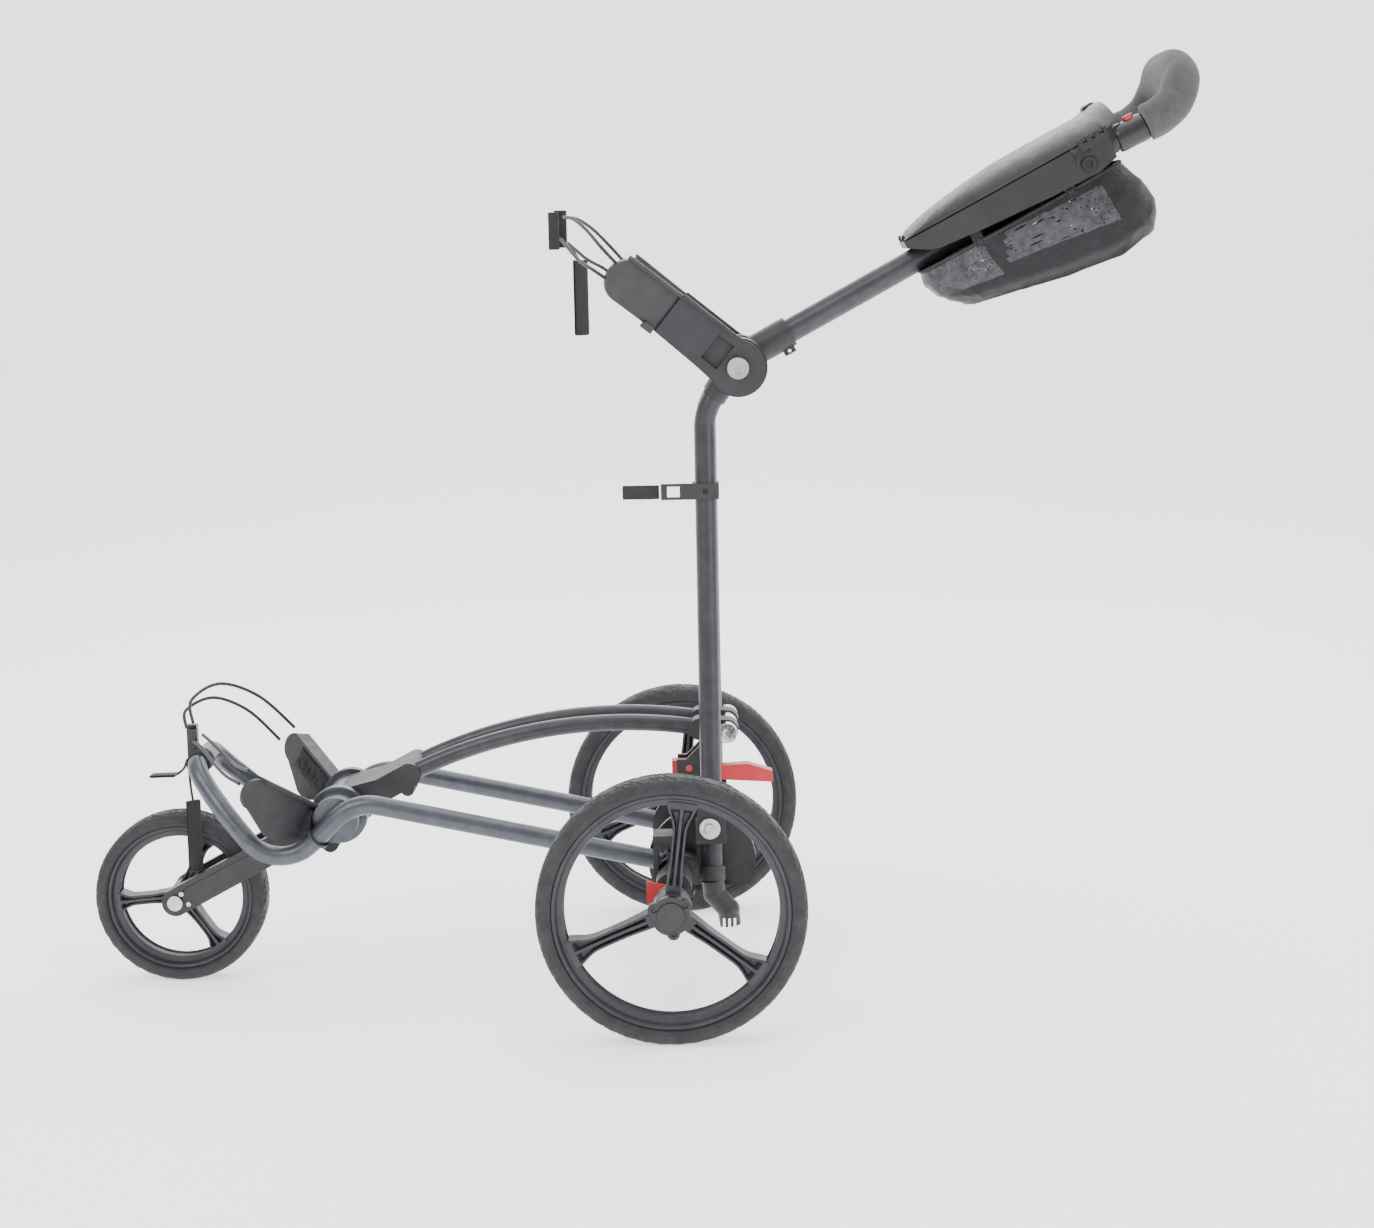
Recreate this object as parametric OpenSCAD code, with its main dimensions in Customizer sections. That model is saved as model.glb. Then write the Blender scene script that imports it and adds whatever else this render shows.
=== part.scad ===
// Three-wheel folding golf push cart, empty, standing on its wheels.
// +X runs from the front wheel to the handle, +Y to the cart's right side, +Z up.
// Every position below is measured from the rear axle's centre in X and from the floor in Z,
// and placed() moves the whole cart so that its box is centred on the origin.

/* [Wheels] */
// Outer diameter of a rear wheel
wheel_d = 290; // [270:1:300]
// Outer diameter of the front wheel
front_wheel_d = 200; // [190:1:205]
// Width of every tyre
tyre_w = 46; // [40:1:46]
// Distance between the middles of the rear tyres
track = 560; // [540:1:580]
// Distance from the rear axle to the front axle
wheelbase = 582; // [575:1:590]

/* [Base frame] */
// Diameter of the base tube
base_tube_d = 22; // [20:0.5:22]
// Half the distance between the two side rails
rail_y = 98.5; // [96:0.5:100]
// Diameter of each arch tube
arch_tube_d = 19; // [17:0.5:20]
// Half the distance between the arch tubes
arch_y = 31; // [29:0.5:32]

/* [Posts] */
// Diameter of each post tube
post_d = 24; // [22:0.5:24]
// Half the distance between the posts at the foot
post_foot_y = 110; // [109:0.5:112]
// Half the distance between the posts at the top
post_top_y = 44; // [43:0.5:45]

/* [Handle] */
// Diameter of the handle tube
handle_d = 28; // [26:0.5:28]
// Slope of the handle above the horizontal
handle_slope = 28.2; // [27:0.1:30]
// Diameter of the handlebar tube under the foam
bar_d = 24; // [22:0.5:24]
// Diameter of the foam grip
foam_d = 41; // [36:0.5:42]
// Half the distance between the handlebar's limbs
bar_y = 98; // [96:0.5:100]

/* [Cords] */
// Diameter of the elastic cords
cord_d = 4; // [3.5:0.5:5]

/* [Hidden] */
$fn = 48;
rear_x = 47.2;
axle_z = wheel_d / 2;
front_axle_z = front_wheel_d / 2;
fold_pivot = [40, 196];
upper_joint = [81, 706];
post_x = 42;
drum = [-386, 204];
arch_r = 560;
arch_centre = [-62, -258.5];
arch_start = 79.4;
arch_end = 118.6;
cross_pin = [61, 292];
arm_angle = 141;
black = [0.09, 0.09, 0.10];
dark = [0.05, 0.05, 0.055];
rubber = [0.07, 0.07, 0.07];
red = [0.85, 0.10, 0.08];
steel = [0.75, 0.75, 0.78];
run_gap = 0.05; // radial clearance of every running fit

// ---- helpers -------------------------------------------------------------------------------

// moves a piece from rear-axle coordinates to the part's own frame
module placed() translate([rear_x, 0, 0]) children();

// copies to one side: side -1 is the left (-Y) and side 1 the right
module on_side(side) scale([1, side, 1]) children();

// a round rod between two points
module rod(p, q, r) {
    d = q - p;
    l = norm(d);
    translate(p) rotate([0, acos(d[2] / l), atan2(d[1], d[0])]) cylinder(r = r, h = l);
}

// a round rod along Y from y0 to y1
module y_rod(x, z, r, y0, y1) translate([x, y1, z]) rotate([90, 0, 0]) cylinder(r = r, h = y1 - y0);

// a ring along Y
module y_ring(x, z, r_out, r_in, y0, y1) difference() {
    y_rod(x, z, r_out, y0, y1);
    y_rod(x, z, r_in, y0 - 1, y1 + 1);
}

// extrudes an outline drawn in X and Z from y0 to y1
module side_plate(y0, y1) translate([0, y1, 0]) rotate([90, 0, 0]) linear_extrude(y1 - y0) children();

// a bend in a plane of constant Y: centre, bend radius and angles from +X towards +Z
module bend(c, y, bend_r, a0, a1, r) translate([c[0], y, c[1]]) rotate([90, 0, 0])
    rotate([0, 0, a0]) rotate_extrude(angle = a1 - a0) translate([bend_r, 0]) circle(r);

// an outline of two round ends with a straight run between, whose ends swell by cap_swell
cap_swell = 0.1;
module capsule(p, q, r) {
    d = q - p;
    half = r - cap_swell;
    translate(p) circle(r);
    translate(q) circle(r);
    translate(p) rotate(atan2(d[1], d[0])) translate([0, -half]) square([norm(d), 2 * half]);
}

// a square with round corners, centred
module round_square(w, h, r) {
    square([w - 2 * r, h], center = true);
    square([w, h - 2 * r], center = true);
    for (sx = [-1, 1], sy = [-1, 1]) translate([sx * (w / 2 - r), sy * (h / 2 - r)]) circle(r);
}

// a tube swept along hand-chosen points, as one closed polyhedron with `sides` sides.
// Rings are set along a smooth curve through the points, `per` rings to each stretch.
// `across` is a direction that the path never runs along
function unit(v) = v / norm(v);
function curve(p0, p1, p2, p3, t) = 0.5 * (2 * p1 + (p2 - p0) * t
    + (2 * p0 - 5 * p1 + 4 * p2 - p3) * t * t + (3 * p1 - p0 - 3 * p2 + p3) * t * t * t);
function smooth(pts, per) = let (n = len(pts)) [
    for (i = [0 : n - 2], k = [0 : per - 1])
        curve(pts[max(i - 1, 0)], pts[i], pts[i + 1], pts[min(i + 2, n - 1)], k / per),
    pts[n - 1]
];
function tangent(p, i) = unit(p[min(i + 1, len(p) - 1)] - p[max(i - 1, 0)]);
module swept(points, r, per, sides = 8, across = undef) {
    p = smooth(points, per);
    n = len(p);
    ring_points = [
        for (i = [0 : n - 1]) let (
            t = tangent(p, i),
            u = unit(cross(t, !is_undef(across) ? across : abs(t[1]) < 0.8 ? [0, 1, 0] : [1, 0, 0])),
            v = cross(t, u)
        ) for (k = [0 : sides - 1]) let (a = 360 * k / sides) p[i] + r * (cos(a) * u + sin(a) * v)
    ];
    walls = [
        for (i = [0 : n - 2], k = [0 : sides - 1]) let (k2 = (k + 1) % sides)
            [i * sides + k, (i + 1) * sides + k, (i + 1) * sides + k2, i * sides + k2]
    ];
    caps = [[for (k = [0 : sides - 1]) k], [for (k = [sides - 1 : -1 : 0]) (n - 1) * sides + k]];
    polyhedron(ring_points, concat(walls, caps), convexity = 4);
}

// ---- base frame ----------------------------------------------------------------------------

rail_angle = 12.1;                       // the rails rise towards the front
rail_rear = [-12, 153.9];
hump_r = 53;
hook_r = 48.7;
limb_angle = 130;
hump_start = [-333.4, 222.8];
hump_centre = hump_start - hump_r * [sin(rail_angle), cos(rail_angle)];
fall_angle = 43;                         // slope of the short falling stretch
hump_exit = hump_centre + hump_r * [-sin(fall_angle), cos(fall_angle)];
fall = 44;
hook_start = hump_exit - fall * [cos(fall_angle), sin(fall_angle)];
hook_centre = hook_start + hook_r * [-sin(fall_angle), cos(fall_angle)];
hook_exit = hook_centre + hook_r * [cos(limb_angle + 90), sin(limb_angle + 90)];
// the bag rest's limbs lean in as they rise; the last point starts the straight cross run
rest_points = [
    [hook_exit[0], rail_y, hook_exit[1]], [-511.7, 85, 215.8], [-532.8, 68, 239.9], [-543.6, 57, 254.4],
    [-548.6, 42, 263]
];
rest_cross = rest_points[4];
bend_swell = 0.2;

// a straight run between two bends at constant Y, reaching 1.5 mm into each bend
module run(p, q, y, r) {
    d = 1.5 * unit(q - p);
    rod([p[0] - d[0], y, p[1] - d[1]], [q[0] + d[0], y, q[1] + d[1]], r);
}

// one continuous tube: rail, hump, hook and limb on each side, joined by the bag rest's cross run.
// The bends swell by bend_swell, as drawn tube does
module base_frame_tube() color(black) placed() {
    r = base_tube_d / 2;
    rb = r + bend_swell;
    for (side = [-1, 1]) {
        y = side * rail_y;
        run(rail_rear + [-1.5, 0.3], hump_start, y, r);
        bend(hump_centre, y, hump_r, 90 - rail_angle, 90 + fall_angle, rb);
        run(hump_exit, hook_start, y, r);
        bend(hook_centre, y, hook_r, limb_angle + 90, 270 + fall_angle, rb);
        on_side(side) for (i = [0 : 3]) {
            rod(rest_points[i], rest_points[i + 1], r);
            translate(rest_points[i + 1]) sphere(rb);
        }
    }
    y_rod(rest_cross[0], rest_cross[2], r, -rest_cross[1], rest_cross[1]);
}

module hub_drum() color(black) placed() difference() {
    union() {
        y_rod(drum[0], drum[1], 26, -86, 86);
        for (side = [-1, 1]) y_rod(drum[0], drum[1], 33, side * 52 - 6, side * 52 + 6);
    }
    for (side = [-1, 1]) y_rod(-397, 200, 4, side * 60 - 40, side * 60 + 40);
    rail_bores();
}

// the rails pass over the drum's ends
module rail_bores() for (side = [-1, 1])
    bend(hump_centre, side * rail_y, hump_r, 60, 150, base_tube_d / 2 + 0.2);

fork_start = [-398, 197];
front_axle_at = [-wheelbase, front_axle_z];

module fork_arms() color(black) placed() for (side = [-1, 1]) difference() {
    union() {
        side_plate(side * 37 - 6, side * 37 + 6) capsule(front_axle_at, fork_start, 16);
        side_plate(side * 43 - 1.5, side * 43 + 1.5) capsule(front_axle_at + [18, 9.4], [-440, 174], 9);
    }
    y_rod(drum[0], drum[1], 26.2, -80, 80);
    y_rod(front_axle_at[0], front_axle_at[1], 6, -80, 80);
}

module front_axle() color(steel) placed() {
    y_rod(front_axle_at[0], front_axle_at[1], 6, -43, 43);
    for (side = [-1, 1]) y_rod(front_axle_at[0], front_axle_at[1], 9, side * 45 - 2, side * 45 + 2);
}

module arch_tube(side) color(black) placed()
    bend(arch_centre, side * arch_y, arch_r, arch_start, arch_end, arch_tube_d / 2);
module arch_tube_left() arch_tube(-1);
module arch_tube_right() arch_tube(1);

function on_arch(a) = arch_centre + arch_r * [cos(a), sin(a)];

module arch_front_socket() color(dark) placed() difference() {
    union() {
        side_plate(-44, 44) capsule(on_arch(119.4), on_arch(115.8), 14);
        side_plate(-44, 44) capsule(on_arch(118.8), drum + [6, 16], 12);
        y_rod(on_arch(116.4)[0], on_arch(116.4)[1] - 19, 8, -18, 18);
    }
    for (side = [-1, 1]) bend(arch_centre, side * arch_y, arch_r, 112, arch_end, arch_tube_d / 2);
    y_rod(drum[0], drum[1], 26.1, -60, 60);
    for (side = [-1, 1]) y_rod(drum[0], drum[1], 33.2, side * 52 - 6.2, side * 52 + 6.2);
}

module arch_rear_eyes() color(black) placed() for (side = [-1, 1]) difference() {
    union() {
        side_plate(side * 31 - 13, side * 31 + 13) capsule(on_arch(80.6), cross_pin, 12.5);
    }
    bend(arch_centre, side * arch_y, arch_r, arch_start, 92, arch_tube_d / 2);
    y_rod(cross_pin[0], cross_pin[1], 7, -60, 60);
}

cap_in = 46;
cap_out = 62;
module cross_pin_roller() color(steel) placed() {
    y_rod(cross_pin[0], cross_pin[1], 7, -cap_out + 3, cap_out - 3);
    y_ring(cross_pin[0], cross_pin[1], 11, 6.9, -17.6, 17.6);
    for (side = [-1, 1]) on_side(side) difference() {
        y_rod(cross_pin[0], cross_pin[1], 11.5, cap_in, cap_out);
        y_rod(cross_pin[0], cross_pin[1], 6.9, cap_in - 1, cap_out - 4);
        y_rod(cross_pin[0], cross_pin[1], 4, cap_out - 2, cap_out + 2);
    }
}

plate_in = 75;
plate_out = 84;
disc_at = [30, 150];

module rear_plate(side) color(black) placed() on_side(side) difference() {
    union() {
        side_plate(plate_in, plate_out) difference() {
            union() {
                translate(disc_at) circle(61);
                translate([8, 168]) square([44, 42]);
                translate([40, 205]) circle(12);
            }
            translate([-40, 60]) square([150, 62]);
        }
        rod([rail_rear[0], rail_y, rail_rear[1]] + 3 * [-cos(rail_angle), 0, sin(rail_angle)],
            [rail_rear[0], rail_y, rail_rear[1]] + 34 * [cos(rail_angle), 0, -sin(rail_angle)], 16.5);
        y_rod(fold_pivot[0], fold_pivot[1], 9, plate_in, 124);
    }
    rod([rail_rear[0], rail_y, rail_rear[1]] + 20 * [-cos(rail_angle), 0, sin(rail_angle)],
        [rail_rear[0], rail_y, rail_rear[1]], base_tube_d / 2);
    y_rod(0, axle_z, 13, plate_in - 1, 118);
    y_rod(fold_pivot[0], fold_pivot[1], 3, 110, 130);
}
module rear_plate_left() rear_plate(-1);
module rear_plate_right() rear_plate(1);

wheel_in = track / 2 - tyre_w / 2;       // inner face of a rear tyre

module axle_beam() color(black) placed() {
    y_rod(0, axle_z, 13, -200, 200);
    for (side = [-1, 1])
        y_rod(0, axle_z, 8, min(side * 199, side * 300), max(side * 199, side * 300));
}

housing_start = 115;                     // clear of the rail's sleeve

// outrigger between the rear plate and the wheel, with a window and the saddle that stops the post
module axle_housing(side) color(dark) placed() on_side(side) difference() {
    union() {
        y_rod(0, axle_z, 20, housing_start, 200);
        side_plate(128, 150) translate([-10, 162]) round_square(26, 62, 5);
        translate([-23, 120, 188]) cube([26, 38, 8]);
        side_plate(128, 140) polygon([[0, 150], [22, 150], [22, 162], [0, 172]]);
    }
    y_rod(0, axle_z, 13, 60, 210);
    translate([-17, 126, 150]) cube([9, 30, 28]);
    translate([-6, 126, 176]) cube([5, 30, 6]);
}
module axle_housing_left() axle_housing(-1);
module axle_housing_right() axle_housing(1);

lever_pivot = [16, 244];

module latch_tower() color(dark) placed() difference() {
    union() {
        difference() {
            side_plate(-20, 20) polygon([[-12, 150], [26, 150], [30, 225], [30, 254], [2, 254], [2, 232]]);
            y_rod(0, axle_z, 13.05, -30, 30);
            translate([-6, -12, 228]) cube([60, 24, 40]);
        }
        for (side = [-1, 1]) side_plate(side * 16 - 4, side * 16 + 4) {
            polygon([[4, 245], [22, 245], [62, 280], [56, 286], [44, 286]]);
            translate(cross_pin - [10, 2]) circle(9);
        }
        y_ring(0, axle_z, 19, 13.05, -20, 20);
    }
    y_rod(cross_pin[0], cross_pin[1], 11.3, -30, 30);
    for (side = [-1, 1]) bend(arch_centre, side * arch_y, arch_r, arch_start, 92, arch_tube_d / 2 + 0.3);
    side_plate(-60, -17.7) capsule(on_arch(80.6), cross_pin, 12.8);
    side_plate(17.7, 60) capsule(on_arch(80.6), cross_pin, 12.8);
    y_rod(lever_pivot[0], lever_pivot[1], 4, -30, 30);
}

module fold_lever() color(red) placed() {
    side_plate(-9, 9) {
        translate([-4, 236]) square([34, 15]);
        polygon([[30, 234], [30, 250], [52, 244], [84, 246], [112, 237], [113, 224], [50, 228]]);
    }
    y_rod(lever_pivot[0], lever_pivot[1], 4 - run_gap, -19.8, 19.8);
}

module brake_pedal() color(dark) placed() {
    for (side = [-1, 1]) difference() {
        side_plate(side * 52 - 4, side * 52 + 4) capsule([0, axle_z], [30, 106], 9);
        y_rod(0, axle_z, 13 + run_gap, -70, 70);
    }
    for (side = [-1, 1]) y_ring(0, axle_z, 19, 13 + run_gap, side * 52 - 6, side * 52 + 6);
    y_rod(30, 106, 8, -80, 80);
    for (side = [-1, 1]) y_rod(30, 106, 11, side * 74 - 8, side * 74 + 8);
}

module rubber_foot() color(rubber) placed() difference() {
    union() {
        side_plate(-16, 16) capsule(drum + [-4, -20], drum + [-16, -40], 8);
        y_rod(drum[0] - 17, drum[1] - 42, 10, -22, 22);
    }
    y_rod(drum[0], drum[1], 26, -60, 60);
}

// the washers keep the posts on their pivots
washer_y = 124.2;
module frame_screws() color(steel) placed() for (side = [-1, 1]) on_side(side) {
    y_rod(fold_pivot[0], fold_pivot[1], 12, washer_y, washer_y + 1.5);
    y_rod(fold_pivot[0], fold_pivot[1], 6, washer_y + 1, washer_y + 4);
    y_rod(fold_pivot[0], fold_pivot[1], 2.9, 112, washer_y + 0.5);
    for (at = [[-wheelbase + 8, 111], [-wheelbase + 16, 99]]) y_rod(at[0], at[1], 3, 43.1, 47);
}

// ---- lower bag bracket ---------------------------------------------------------------------

wing_root = [-405, 68, 214.5];           // inner end of the wing's top edge
wing_splay = 48.4;
wing_rise = 29.8;
wing_roll = 11;
wing_t = 5;
// +X along the wing's top edge, +Z up across it; the bag lies on the wing's +Y face
module wing_frame() translate(wing_root) rotate([0, 0, 180 - wing_splay]) rotate([0, -wing_rise, 0])
    rotate([wing_roll, 0, 0]) children();

// outline of a wing in its own plane, with a round tip
module wing_outline() {
    polygon([[-10, 0], [95, 0], [95, -36], [56, -55], [40, -55], [22, -42], [-10, -36]]);
    translate([95, -18]) circle(18.1);
}

module lower_wing(side) color(black) placed() on_side(side) difference() {
    union() {
        wing_frame() rotate([90, 0, 0]) linear_extrude(wing_t) wing_outline();
        wing_frame() translate([-4, -14, -1]) cube([100, 20, 4]);
        wing_frame() translate([-6, -32, -30]) cube([26, 29, 24]);
        rod([hump_exit[0] - 6, rail_y, hump_exit[1] - 6],
            [hook_start[0] + 6, rail_y, hook_start[1] + 6], 15);
    }
    y_rod(drum[0], drum[1], 26.3, -120, 120);
    y_rod(drum[0], drum[1], 33.3, 45, 58.4);
    bend(hump_centre, rail_y, hump_r, 60, 150, base_tube_d / 2 + 0.4);
    rod([hump_exit[0] + 8, rail_y, hump_exit[1] + 7.5], [hook_start[0] - 12, rail_y, hook_start[1] - 11.2],
        base_tube_d / 2 + 0.4);
    bend(hook_centre, rail_y, hook_r, 220, 320, base_tube_d / 2 + 0.4);
}
module lower_wing_left() lower_wing(-1);
module lower_wing_right() lower_wing(1);

module pad_rings() for (i = [0 : 2]) translate([26 + 20 * i, 0]) difference() {
    circle(8);
    circle(4.5);
}

// a pad on each wing and a saddle on the bag rest's cross run
module lower_pads() color(rubber) placed() {
    for (side = [-1, 1]) on_side(side) {
        wing_frame() translate([16, 0.2, -33]) cube([64, 3, 28]);
        wing_frame() translate([0, 5, -19]) rotate([90, 0, 0]) linear_extrude(2) pad_rings();
    }
    y_ring(rest_cross[0], rest_cross[2], 14, base_tube_d / 2 + 0.1, -40, -13);
}

buckle_at = [-557, 0, 281];
lower_far_a = [[-464, 124, 273.5], [-502, 104, 316], [-542, 74, 337], [-568, 32, 325], [-562, 6, 303]];
lower_far_b = [[-484, 131, 257.5], [-516, 104, 299], [-550, 70, 321], [-574, 28, 314], [-570, 6, 297]];
lower_near_a = [[-472, -136, 273.5], [-488, -110, 272.5], [-504, -80, 275], [-532, -40, 288],
    [-547, -14, 292]];
lower_near_b = [[-484, -131, 257.5], [-503, -108, 262], [-522, -78, 270], [-545, -36, 282],
    [-558, -14, 284]];

module lower_cords() color(black) placed()
    for (route = [lower_far_a, lower_far_b, lower_near_a, lower_near_b]) swept(route, cord_d / 2, 3);

// two slotted plates joined by a short block, clipped over the bag rest's cross run
module lower_buckle() color(dark) placed() difference() {
    translate(buckle_at) {
        translate([-9, -12, -22]) cube([12, 11, 38]);
        translate([-12, 1, -20]) cube([12, 11, 40]);
        translate([-8, -2, -14]) cube([6, 4, 24]);
    }
    y_rod(rest_cross[0], rest_cross[2], base_tube_d / 2 + 0.2, -30, 30);
}

// one strap hangs beside the front tyre, the other points forwards from the buckle
module lower_webbing() color(black) placed() {
    translate([-559, -43, 134]) cube([3, 17, 86]);
    rod([-557.5, -34.5, 219], [-566.5, -4, 260.5], 2.5);
    translate([-614, -9, 241]) cube([34, 18, 3]);
    rod([-581, 0, 242.5], [-570, 2, 260.5], 2.5);
}

// ---- wheels --------------------------------------------------------------------------------

module tyre(r, tread_y, rim_r) rotate([90, 0, 0]) difference() {
    rotate_extrude() polygon([
        [rim_r, -tyre_w / 2 + 4], [r - 16, -tyre_w / 2], [r - 5, -tyre_w / 2 + 3], [r - 1, -tyre_w / 2 + 9],
        [r, -tyre_w / 2 + 15], [r, tyre_w / 2 - 15], [r - 1, tyre_w / 2 - 9], [r - 5, tyre_w / 2 - 3],
        [r - 16, tyre_w / 2], [rim_r, tyre_w / 2 - 4]
    ]);
    for (s = [-1, 1]) translate([0, 0, s * tread_y]) rotate_extrude() translate([r - 2,
        -1.2]) square([5, 2.4]);
}

// rim, three deep spokes and the hub barrel; the face is towards -Y
module rim(r, hub_r, bore_r, spoke_w, first) rotate([90, 0, 0]) {
    difference() {
        union() {
            rotate_extrude() polygon([
                [r - 14, -18], [r, -18], [r, 18], [r - 14, 18], [r - 14, 12], [r - 10, 8],
                [r - 10, -8], [r - 14, -12]
            ]);
            cylinder(r = hub_r, h = 50, center = true);
            for (i = [0 : 2]) rotate(first + 120 * i) {
                translate([hub_r - 4, -spoke_w / 2, -14]) cube([r - 2 - hub_r, spoke_w, 28]);
                translate([r - 30, -spoke_w, -11]) cube([24, 2 * spoke_w, 22]);
            }
        }
        cylinder(r = bore_r, h = 60, center = true);
        for (i = [0 : 2]) rotate(first + 120 * i) for (s = [-1, 1])
            translate([hub_r + 4, -spoke_w / 4, s * 12 - 4]) cube([r - 44 - hub_r, spoke_w / 2, 8]);
    }
}

module bearing(r_out, r_in, w) rotate([90, 0, 0]) difference() {
    cylinder(r = r_out, h = w, center = true);
    cylinder(r = r_in, h = w + 1, center = true);
}

rim_r = wheel_d / 2 - 17;
front_rim_r = front_wheel_d / 2 - 15;
spoke_first = 83;

module rear_at(side) placed() translate([0, side * track / 2, axle_z]) children();
module front_at() placed() translate([-wheelbase, 0, front_axle_z]) children();

module tyre_left() color(rubber) rear_at(-1) tyre(wheel_d / 2, 12, rim_r);
module tyre_right() color(rubber) rear_at(1) tyre(wheel_d / 2, 12, rim_r);
module rim_left() color(black) rear_at(-1) rim(rim_r, 20, 14, 15, spoke_first);
module rim_right() color(black) rear_at(1) rim(rim_r, 20, 14, 15, spoke_first);
module bearings_left() color(steel) rear_at(-1) rear_bearings();
module bearings_right() color(steel) rear_at(1) rear_bearings();
module rear_bearings() for (s = [-1, 1]) translate([0, s * 12, 0]) bearing(14, 8 + run_gap, 10);
module front_tyre() color(rubber) front_at() tyre(front_wheel_d / 2, 12, front_rim_r);
module front_rim() color(black) front_at() rim(front_rim_r, 15, 11, 12, 65);
module front_bearings() color(steel) front_at()
    for (s = [-1, 1]) translate([0, s * 18, 0]) bearing(11, 6 + run_gap, 9);

// three-lobed cap over the outer end of the hub, with three screw heads
module hub_cap(side) color(black) rear_at(side) rotate([side < 0 ? 90 : -90, 0, 0]) {
    translate([0, 0, 25]) difference() {
        union() {
            linear_extrude(7) {
                circle(21);
                for (i = [0 : 2]) rotate(120 * i - spoke_first) translate([19, 0]) circle(7);
            }
            translate([0, 0, 3]) cylinder(r = 15, h = 6);
        }
        translate([0, 0, -1]) cylinder(r = 9, h = 6);
        for (i = [0 : 2]) rotate(120 * i - spoke_first) translate([19, 0, 5]) cylinder(r = 3, h = 6);
    }
}
module hub_cap_left() hub_cap(-1);
module hub_cap_right() hub_cap(1);

// red quick-release tab on the axle, inside the wheel
module wheel_release(side) color(red) placed() on_side(side) difference() {
    union() {
        y_rod(0, axle_z, 14, 230, 236);
        side_plate(230, 234) polygon([[-2, 132], [-28, 140], [-28, 164], [-2, 158]]);
    }
    y_rod(0, axle_z, 8 + run_gap, 220, 250);
}
module wheel_release_left() wheel_release(-1);
module wheel_release_right() wheel_release(1);

// ---- posts ---------------------------------------------------------------------------------

post_low = [post_x, post_foot_y, 134];
post_high = [post_x, post_top_y, 640];
top_bend = 60;
bend_end = 146;                          // where the top bend enters its sleeve
post_end = [post_x + top_bend + top_bend * cos(bend_end), post_top_y, 638 + top_bend * sin(bend_end)];

// point on the splayed stretch of a post at height z
function post_at(z) = post_low + (post_high - post_low) * (z - post_low[2]) / (post_high[2] - post_low[2]);

module post_tube(side) color(black) placed() on_side(side) difference() {
    union() {
        rod(post_low, post_high + [0, 0, 1], post_d / 2);
        bend([post_x + top_bend, 638], post_top_y, top_bend, bend_end, 180, post_d / 2);
    }
    y_rod(fold_pivot[0], fold_pivot[1], 9 + run_gap, 80, 140);
}
module post_tube_left() post_tube(-1);
module post_tube_right() post_tube(1);

// castings that wrap the posts at the fold pivot and bear on the pivot bosses
module post_clamps() color(black) placed() for (side = [-1, 1]) on_side(side) difference() {
    union() {
        side_plate(95, 122) {
            translate([26, 178]) square([32, 42]);
            translate([24, 178]) square([10, 26]);
        }
        y_rod(fold_pivot[0], fold_pivot[1], 14, 95, 122);
    }
    y_rod(fold_pivot[0], fold_pivot[1], 9 + run_gap, 80, 140);
    rod(post_at(160), post_at(240), post_d / 2);
}

module post_feet() color(dark) placed() for (side = [-1, 1]) on_side(side) difference() {
    union() {
        rod(post_at(150), post_low, post_d / 2 + 2.5);
        rod(post_low, [44, post_foot_y, 118], 12.5);
        translate([44, post_foot_y, 118]) sphere(13);
        rod([44, post_foot_y, 118], [59, post_foot_y, 100], 12.5);
        translate([59, post_foot_y, 100]) sphere(13);
        rod([59, post_foot_y, 100], [61, post_foot_y, 82], 12);
    }
    rod(post_at(160), post_low, post_d / 2);
    for (i = [-1 : 1]) translate([60 + 6 * i - 1.5, post_foot_y - 20, 80]) cube([3, 40, 12]);
}

housing_in = 24;
housing_out = 60;
module joint_housing() color(black) placed() for (side = [-1, 1]) on_side(side) difference() {
    union() {
        y_rod(upper_joint[0], upper_joint[1], 33, housing_in, housing_out);
        rod(post_end, post_end + 34 * [sin(bend_end), 0, -cos(bend_end)], 14);
    }
    y_rod(upper_joint[0], upper_joint[1], 8, 10, 80);
    y_ring(upper_joint[0], upper_joint[1], 28, 22, housing_out - 3, housing_out + 3);
}

module joint_bolt() color(steel) placed() difference() {
    union() {
        y_rod(upper_joint[0], upper_joint[1], 8, -72, 72);
        for (side = [-1, 1]) y_rod(upper_joint[0], upper_joint[1], 12, side * 75 - 3.2, side * 75 + 3.2);
    }
    for (side = [-1, 1]) translate([upper_joint[0], side * 77.5, upper_joint[1]]) rotate([90, 0, 0])
        cylinder(r = 7, h = 4, center = true, $fn = 6);
}

strap_z = 569;
module strap_bracket() color(dark) placed() difference() {
    union() {
        translate([14, -post_at(strap_z)[1] - 14.5, strap_z - 9]) cube([42.5, 5, 18]);
        translate([27, -post_at(strap_z)[1] - 14, strap_z - 9]) cube([30, 28, 18]);
        translate([-8, -post_at(strap_z)[1] - 14.5, strap_z - 9]) cube([24, 4, 18]);
    }
    rod([post_x, -post_foot_y, post_low[2]], [post_x, -post_top_y, post_high[2]], post_d / 2);
    translate([-1, -post_at(strap_z)[1] - 20, strap_z - 6]) cube([14, 20, 12]);
    y_rod(post_x, strap_z, 3, -80, -60);
}

module strap_webbing() color(black) placed() {
    y = -post_at(strap_z)[1] - 13.5;
    translate([-52, y, strap_z - 8]) cube([43.8, 2, 16]);
}

// ---- upper bag bracket ---------------------------------------------------------------------

arm_in = 61;
arm_out = 71;
fold_line = 98;
module arm_frame() translate([upper_joint[0], 0, upper_joint[1]]) rotate([0, -arm_angle, 0]) children();
// frame of the splayed end panel: starts at the fold line and turns outwards
module panel_frame() arm_frame() translate([fold_line, arm_in, 0]) rotate([0, 0, 26]) children();

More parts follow.
